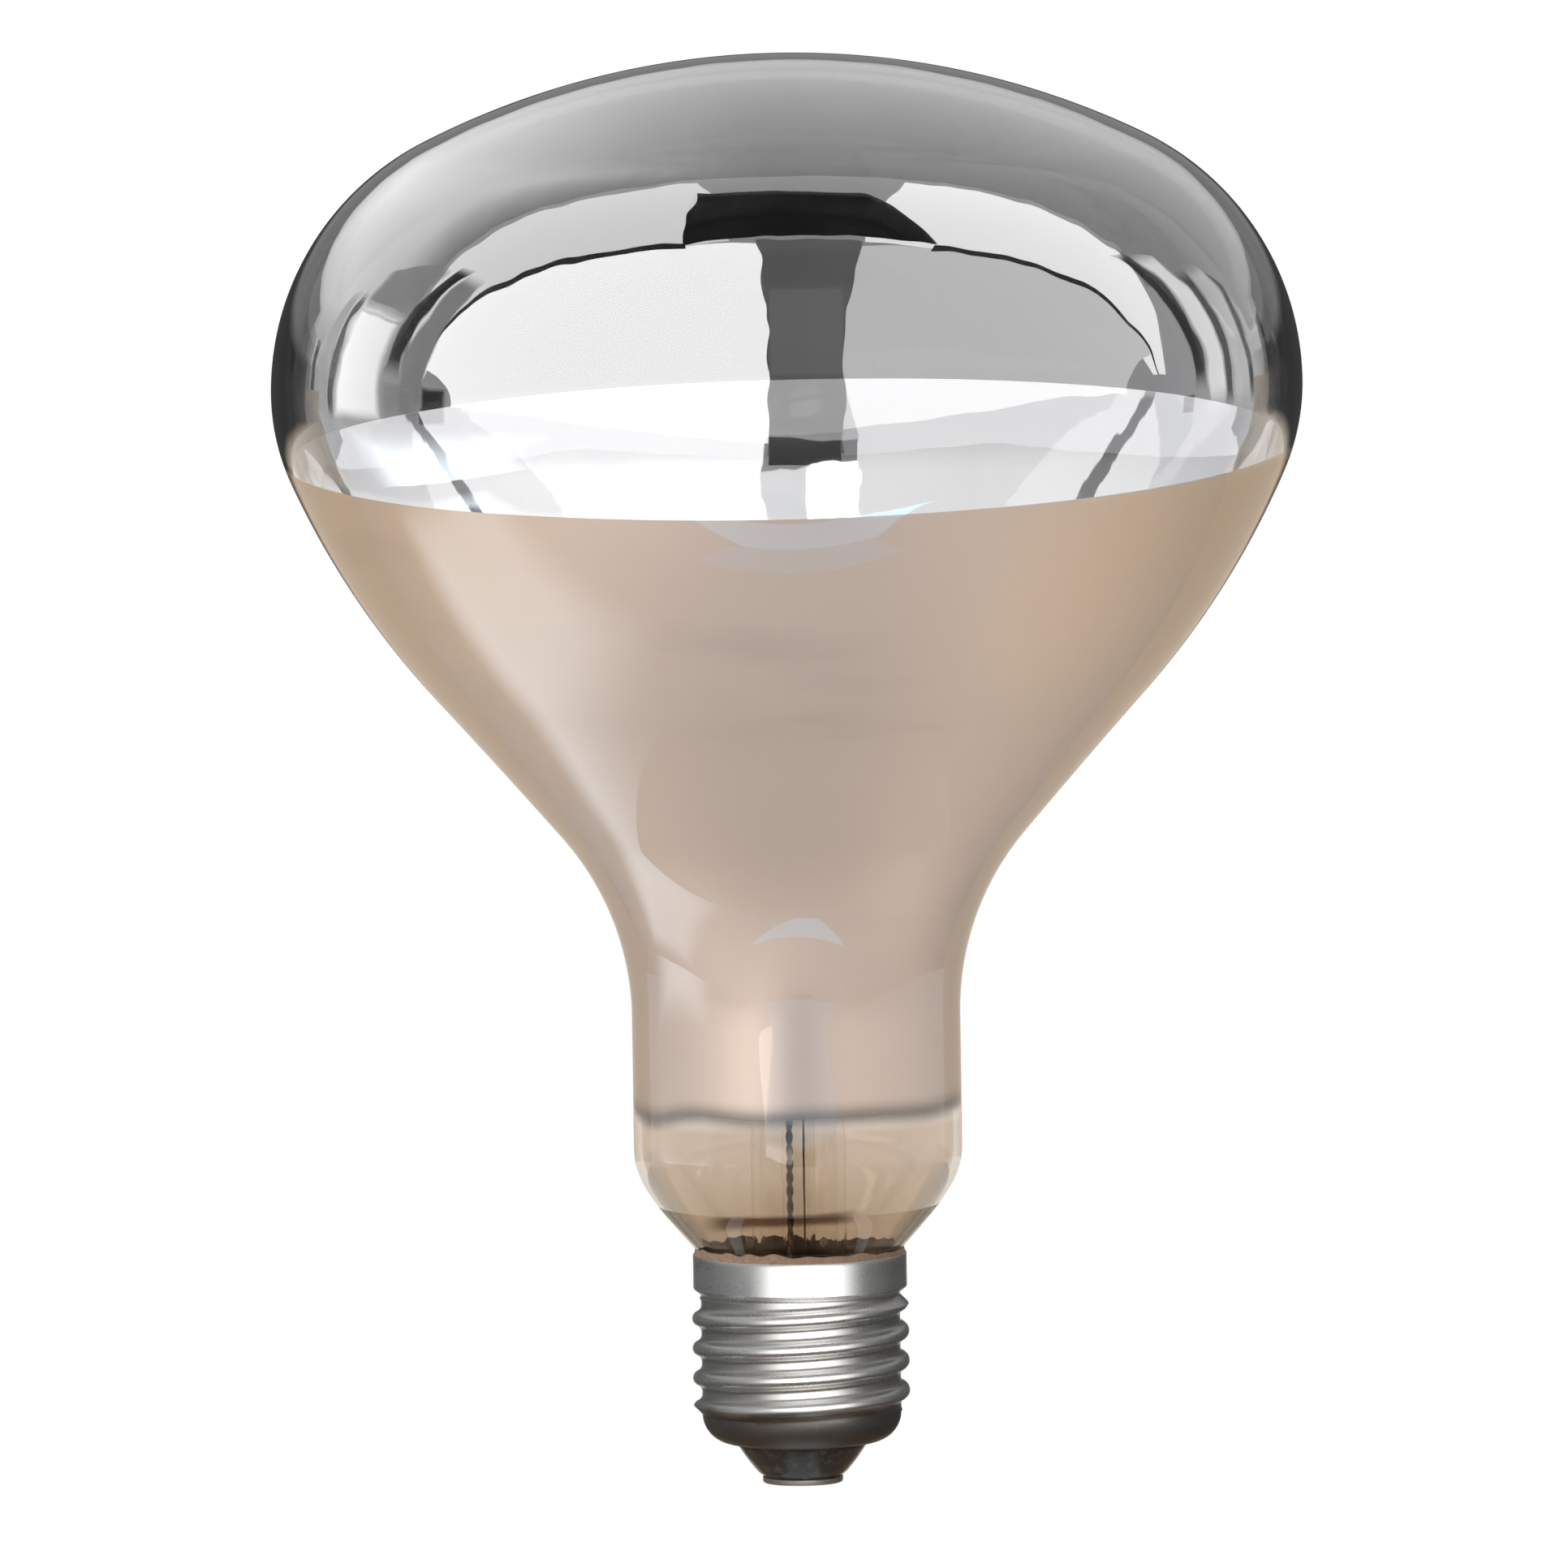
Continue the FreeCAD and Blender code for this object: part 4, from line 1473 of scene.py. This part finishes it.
@dataclass
class Studio:
    """White room with a pale floor, soft panels, dark cards and the camera."""

    floor_height: float = -350.0
    floor_half: float = 1250.0
    elevation: float = 5.0
    roll: float = 0.86
    distance: float = 2600.0
    frame_width: float = 190.3
    sensor: float = 36.0
    clip_end: float = 100.0
    aim: Point = (-1.05, 0.0, 85.7)
    fill: float = 0.3
    wall: float = 1000.0
    wall_soft: float = 0.3
    flag_height: Span = (-30.0, 33.5)
    light_height: Span = (3.0, 33.5)

    def build(self) -> None:
        """Set up room, light and camera."""
        bpy.context.scene.view_settings.view_transform = "Standard"
        self.room()
        self.floor()
        for group in (self.panels(), self.walls(), self.backs(), self.papers(), self.bounces(), self.flags()):
            for card in group:
                card.build()
        self.camera()

    def panels(self) -> Iterator[Card]:
        """Two soft panels beside the camera, two overhead, and the dark gaps and rails between them.

        Returns:
            The panels, one after another.
        """
        yield CurvedCard("softbox_left", 4.2, Seen.ALL, (-4, -79), (-14, 71), slant=14)
        yield CurvedCard("softbox_right", 2.25, Seen.ALL, (12.5, 79), (-8, 71), slant=14)
        yield CurvedCard("mirror_left", 1.15, Seen.GLASS, (-84, -14), (8, 76), 1290)
        yield CurvedCard("mirror_right", 1.7, Seen.GLASS, (4.5, 84), (8, 76), 1290)
        yield CurvedCard("mirror_over", 1.4, Seen.GLASS, (-86, 86), (76, 130), 1290)
        yield CurvedCard("overhead_left", 2.75, Seen.SHINE, (-9, -84), (73, 107), 1310)
        yield CurvedCard("overhead_right", 3.5, Seen.SHINE, (13, 84), (73, 107), 1310)
        yield CurvedCard("gap_middle", 0.4, Seen.SHINE, (-4, 12.5), (-20, 73), 1290)
        gap = ((-195, 183, 1176), (191, 149, 1176), (489, -276, 1176), (-323, -306, 1176))
        yield FlatCard("gap_overhead", 0.01, Seen.BOTH, gap)
        yield CurvedCard("gap_mirror", 0.55, Seen.GLASS, (-14, 4.5), (-40, 46.5), 1285)
        yield CurvedCard("strip_mirror", 0.03, Seen.GLASS, (-14, 4.5), (46.5, 51), 1285)
        yield CurvedCard("rail_left", 0.02, Seen.SHINE, (-16, -84), (72, 75), 1290, slant=14)
        yield CurvedCard("rail_right", 0.02, Seen.SHINE, (24, 84), (72, 75), 1290, slant=14)
        yield CurvedCard("room_behind", 0.6, Seen.SHINE, (-75, 60), (109, 168), 1295)
        yield CurvedCard("room_left", 1.65, Seen.SHINE, (-85, 0), (107, 172), 1288, soft=0.7)

    def walls(self) -> Iterator[Card]:
        """Upright strips at both sides, bright and dark in turn.

        Returns:
            The strips, one after another.
        """
        left = (Strip(-60, 90, 10, 950, 0.7), Strip(90, 175, 230, 1000, 0.02, Seen.BOTH),
                Strip(-175, -40, 10, 230, 0.03, Seen.BOTH), Strip(-40, 175, 10, 230, 0.8),
                Strip(175, 560, 10, 560, 3.2), Strip(175, 560, 480, 900, 0.7),
                Strip(560, 620, 10, 600, 0.05), Strip(620, 820, 10, 600, 0.9),
                Strip(820, 880, 10, 650, 0.05), Strip(880, 1200, 10, 700, 0.35))
        right = (Strip(200, 285, 100, 1000, 0.02, Seen.BOTH), Strip(120, 200, 10, 100, 0.05, Seen.BOTH),
                 Strip(285, 430, 10, 900, 2.4), Strip(430, 500, 10, 700, 0.05),
                 Strip(500, 660, 10, 700, 1.3), Strip(660, 730, 10, 700, 0.05),
                 Strip(730, 900, 10, 600, 1.0), Strip(900, 1300, 10, 450, 0.1))
        for side, across, strips in (("left", -self.wall, left), ("right", self.wall, right)):
            for index, strip in enumerate(strips):
                name = f"wall_{side}_{index}"
                corners = sideways(across, (strip.front, strip.rear), (strip.low, strip.high))
                yield FlatCard(name, strip.radiance, strip.seen, corners, soft=self.wall_soft)

    def backs(self) -> Iterator[Card]:
        """Dark cards behind the lamp.

        Returns:
            The cards, one after another.
        """
        yield FlatCard("card_behind", 0.015, Seen.GLASS, upright(700, (-700, 700), (0, 330)))
        back = upright(700, (-1000, 1000), (-15, 215))
        yield FlatCard("card_behind_shine", 0.05, Seen.SHINE, back, soft=0.4)
        yield FlatCard("card_high_shine", 0.25, Seen.SHINE, upright(710, (-700, 700), (120, 330)))
        back = upright(720, (-1000, 1000), (-900, 120))
        yield FlatCard("card_below_shine", 0.7, Seen.SHINE, back, hue=(1.0, 0.85, 0.68))
        patch = wedge(690, (-15.6, 23.6, 108.3), (-13.4, 13.2, 116.9))
        yield FlatCard("patch_arch", 0.0, Seen.GLASS, patch)
        yield FlatCard("patch_bar", 0.06, Seen.GLASS, upright(690, (-2.4, 9.9), (88.8, 107.4)))

    def papers(self) -> Iterator[Card]:
        """Papers, a gap and a shade in front of the lamp, and a streak of light at its left.

        Returns:
            The cards, one after another.
        """
        yield FlatCard("gap_low", 0.1, Seen.SHINE, upright(-700, (-45, 150), (-195, 20)))
        paper = wedge(-100, (-42, 54, 34), (-25, 34, 52))
        yield FlatCard("white_paper", 2.2, Seen.SHINE, paper, soft=0.15, hue=(0.4, 0.7, 1.0))
        yield FlatCard("neck_shade", 0.45, Seen.GLASS, upright(-130, (-45, 55), (25, 80)), soft=0.4)
        paper = wedge(-299, (10, 100, -308), (-205, 235, -205))
        yield FlatCard("blue_paper", 4.2, Seen.SHINE, paper, soft=0.1, hue=(0.36, 0.7, 1.0))
        streak = sideways(-950, (-560, 450), (-700, 6))
        yield FlatCard("streak_neck", 4.5, Seen.SHINE, streak, soft=0.8, hue=(0.86, 0.94, 1.0))

    def bounces(self) -> Iterator[Card]:
        """Soft light from below on the bowl: a bright streak at the left, warmer at the right.

        Returns:
            The cards, one after another.
        """
        left = level(-150, (-480, -110), (-130, 200))
        yield FlatCard("streak_left", 3.8, Seen.SHINE, left, soft=0.6, hue=(0.84, 0.92, 1.0))
        yield FlatCard("bounce_left", 1.4, Seen.GLASS, left, soft=0.4)
        right = level(-150, (90, 420), (-130, 200))
        yield FlatCard("bounce_right", 1.4, Seen.GLASS, right, soft=0.4, hue=(1.0, 0.97, 0.92))
        middle = level(-160, (-200, 200), (-260, 220))
        yield FlatCard("bounce_middle", 0.83, Seen.GLASS, middle, soft=0.3)

    def flags(self) -> Iterator[Card]:
        """Light close in front of the cap's middle, and dark flags beside, above and below it.

        Returns:
            The cards, one after another.
        """
        yield ArcCard("flag_round", 0.07, Seen.SHINE, (-150, 150), self.flag_height, 46)
        fading = {"soft": 1.0, "soft_ends": False}
        yield ArcCard("cap_glow", 0.3, Seen.SHINE, (-100, 110), self.light_height, 45, **fading)
        yield ArcCard("cap_light", 3.6, Seen.SHINE, (-50, 64), self.light_height, 44, **fading)
        yield FlatCard("tip_light", 0.6, Seen.SHINE, level(-11, (-8, 8), (-14, 8)), soft=0.3)
        under = level(-12, (-28, 28), (-40, 25))
        yield FlatCard("flag_under", 0.2, Seen.SHINE, under, hue=(1.0, 0.62, 0.36))
        yield RingCard("lid_over_cap", 0.95, Seen.SHINE, 34.0, hue=(1.0, 0.95, 0.88))
        yield RingCard("lid_under_rim", 0.24, Seen.SHINE, 33.7)

    def room(self) -> None:
        """Set a white world for the camera, metal and glass, and a softer fill for matt surfaces."""
        world = bpy.data.worlds.new("white_room")
        bpy.context.scene.world = world
        world.use_nodes = True
        graph = Graph(world.node_tree)
        seen = graph.math("MAXIMUM", graph.ray("Camera"), graph.ray("Glossy"))
        seen = graph.math("MAXIMUM", seen, graph.ray("Transmission"))
        strength = self.fill + seen * (1 - self.fill)
        shader = graph.node("ShaderNodeBackground", inputs={"Color": WHITE, "Strength": strength})
        graph.output("World", shader)

    def floor(self) -> None:
        """Lay a pale floor below the lamp."""
        ticks = np.linspace(-self.floor_half, self.floor_half, 9)
        grid = np.stack(np.broadcast_arrays(ticks[None, :], ticks[:, None], self.floor_height), axis=-1)
        ground = new_piece("floor", skin("floor", grid, wrap=False), [PaleFloor().material()])

    def camera(self) -> None:
        """Set the camera at the photograph's angle, with a long lens."""
        rise = math.radians(self.elevation)
        back = Vector((0.0, -math.cos(rise), math.sin(rise)))
        lens = bpy.data.cameras.new("camera")
        lens.sensor_width = self.sensor
        lens.lens = self.sensor * self.distance / self.frame_width
        lens.clip_end = self.clip_end
        made = bpy.data.objects.new("camera", lens)
        bpy.context.scene.collection.objects.link(made)
        made.location = (Vector(self.aim) + back * self.distance) * MM
        made.rotation_mode = "QUATERNION"
        tilt = Quaternion((0.0, 0.0, 1.0), -math.radians(self.roll))
        made.rotation_quaternion = (-back).to_track_quat("-Z", "Y") @ tilt
        bpy.context.scene.camera = made


def main() -> None:
    """Build the lamp and its studio in order."""
    logging.basicConfig(level=logging.INFO, format="%(name)s: %(message)s")
    outline = BulbOutline()
    GlassEnvelope(outline).build()
    MirrorFilm(outline).build()
    FilamentMount().build()
    ScrewCap(outline).build()
    Studio().build()


if __name__ == "__main__":
    main()
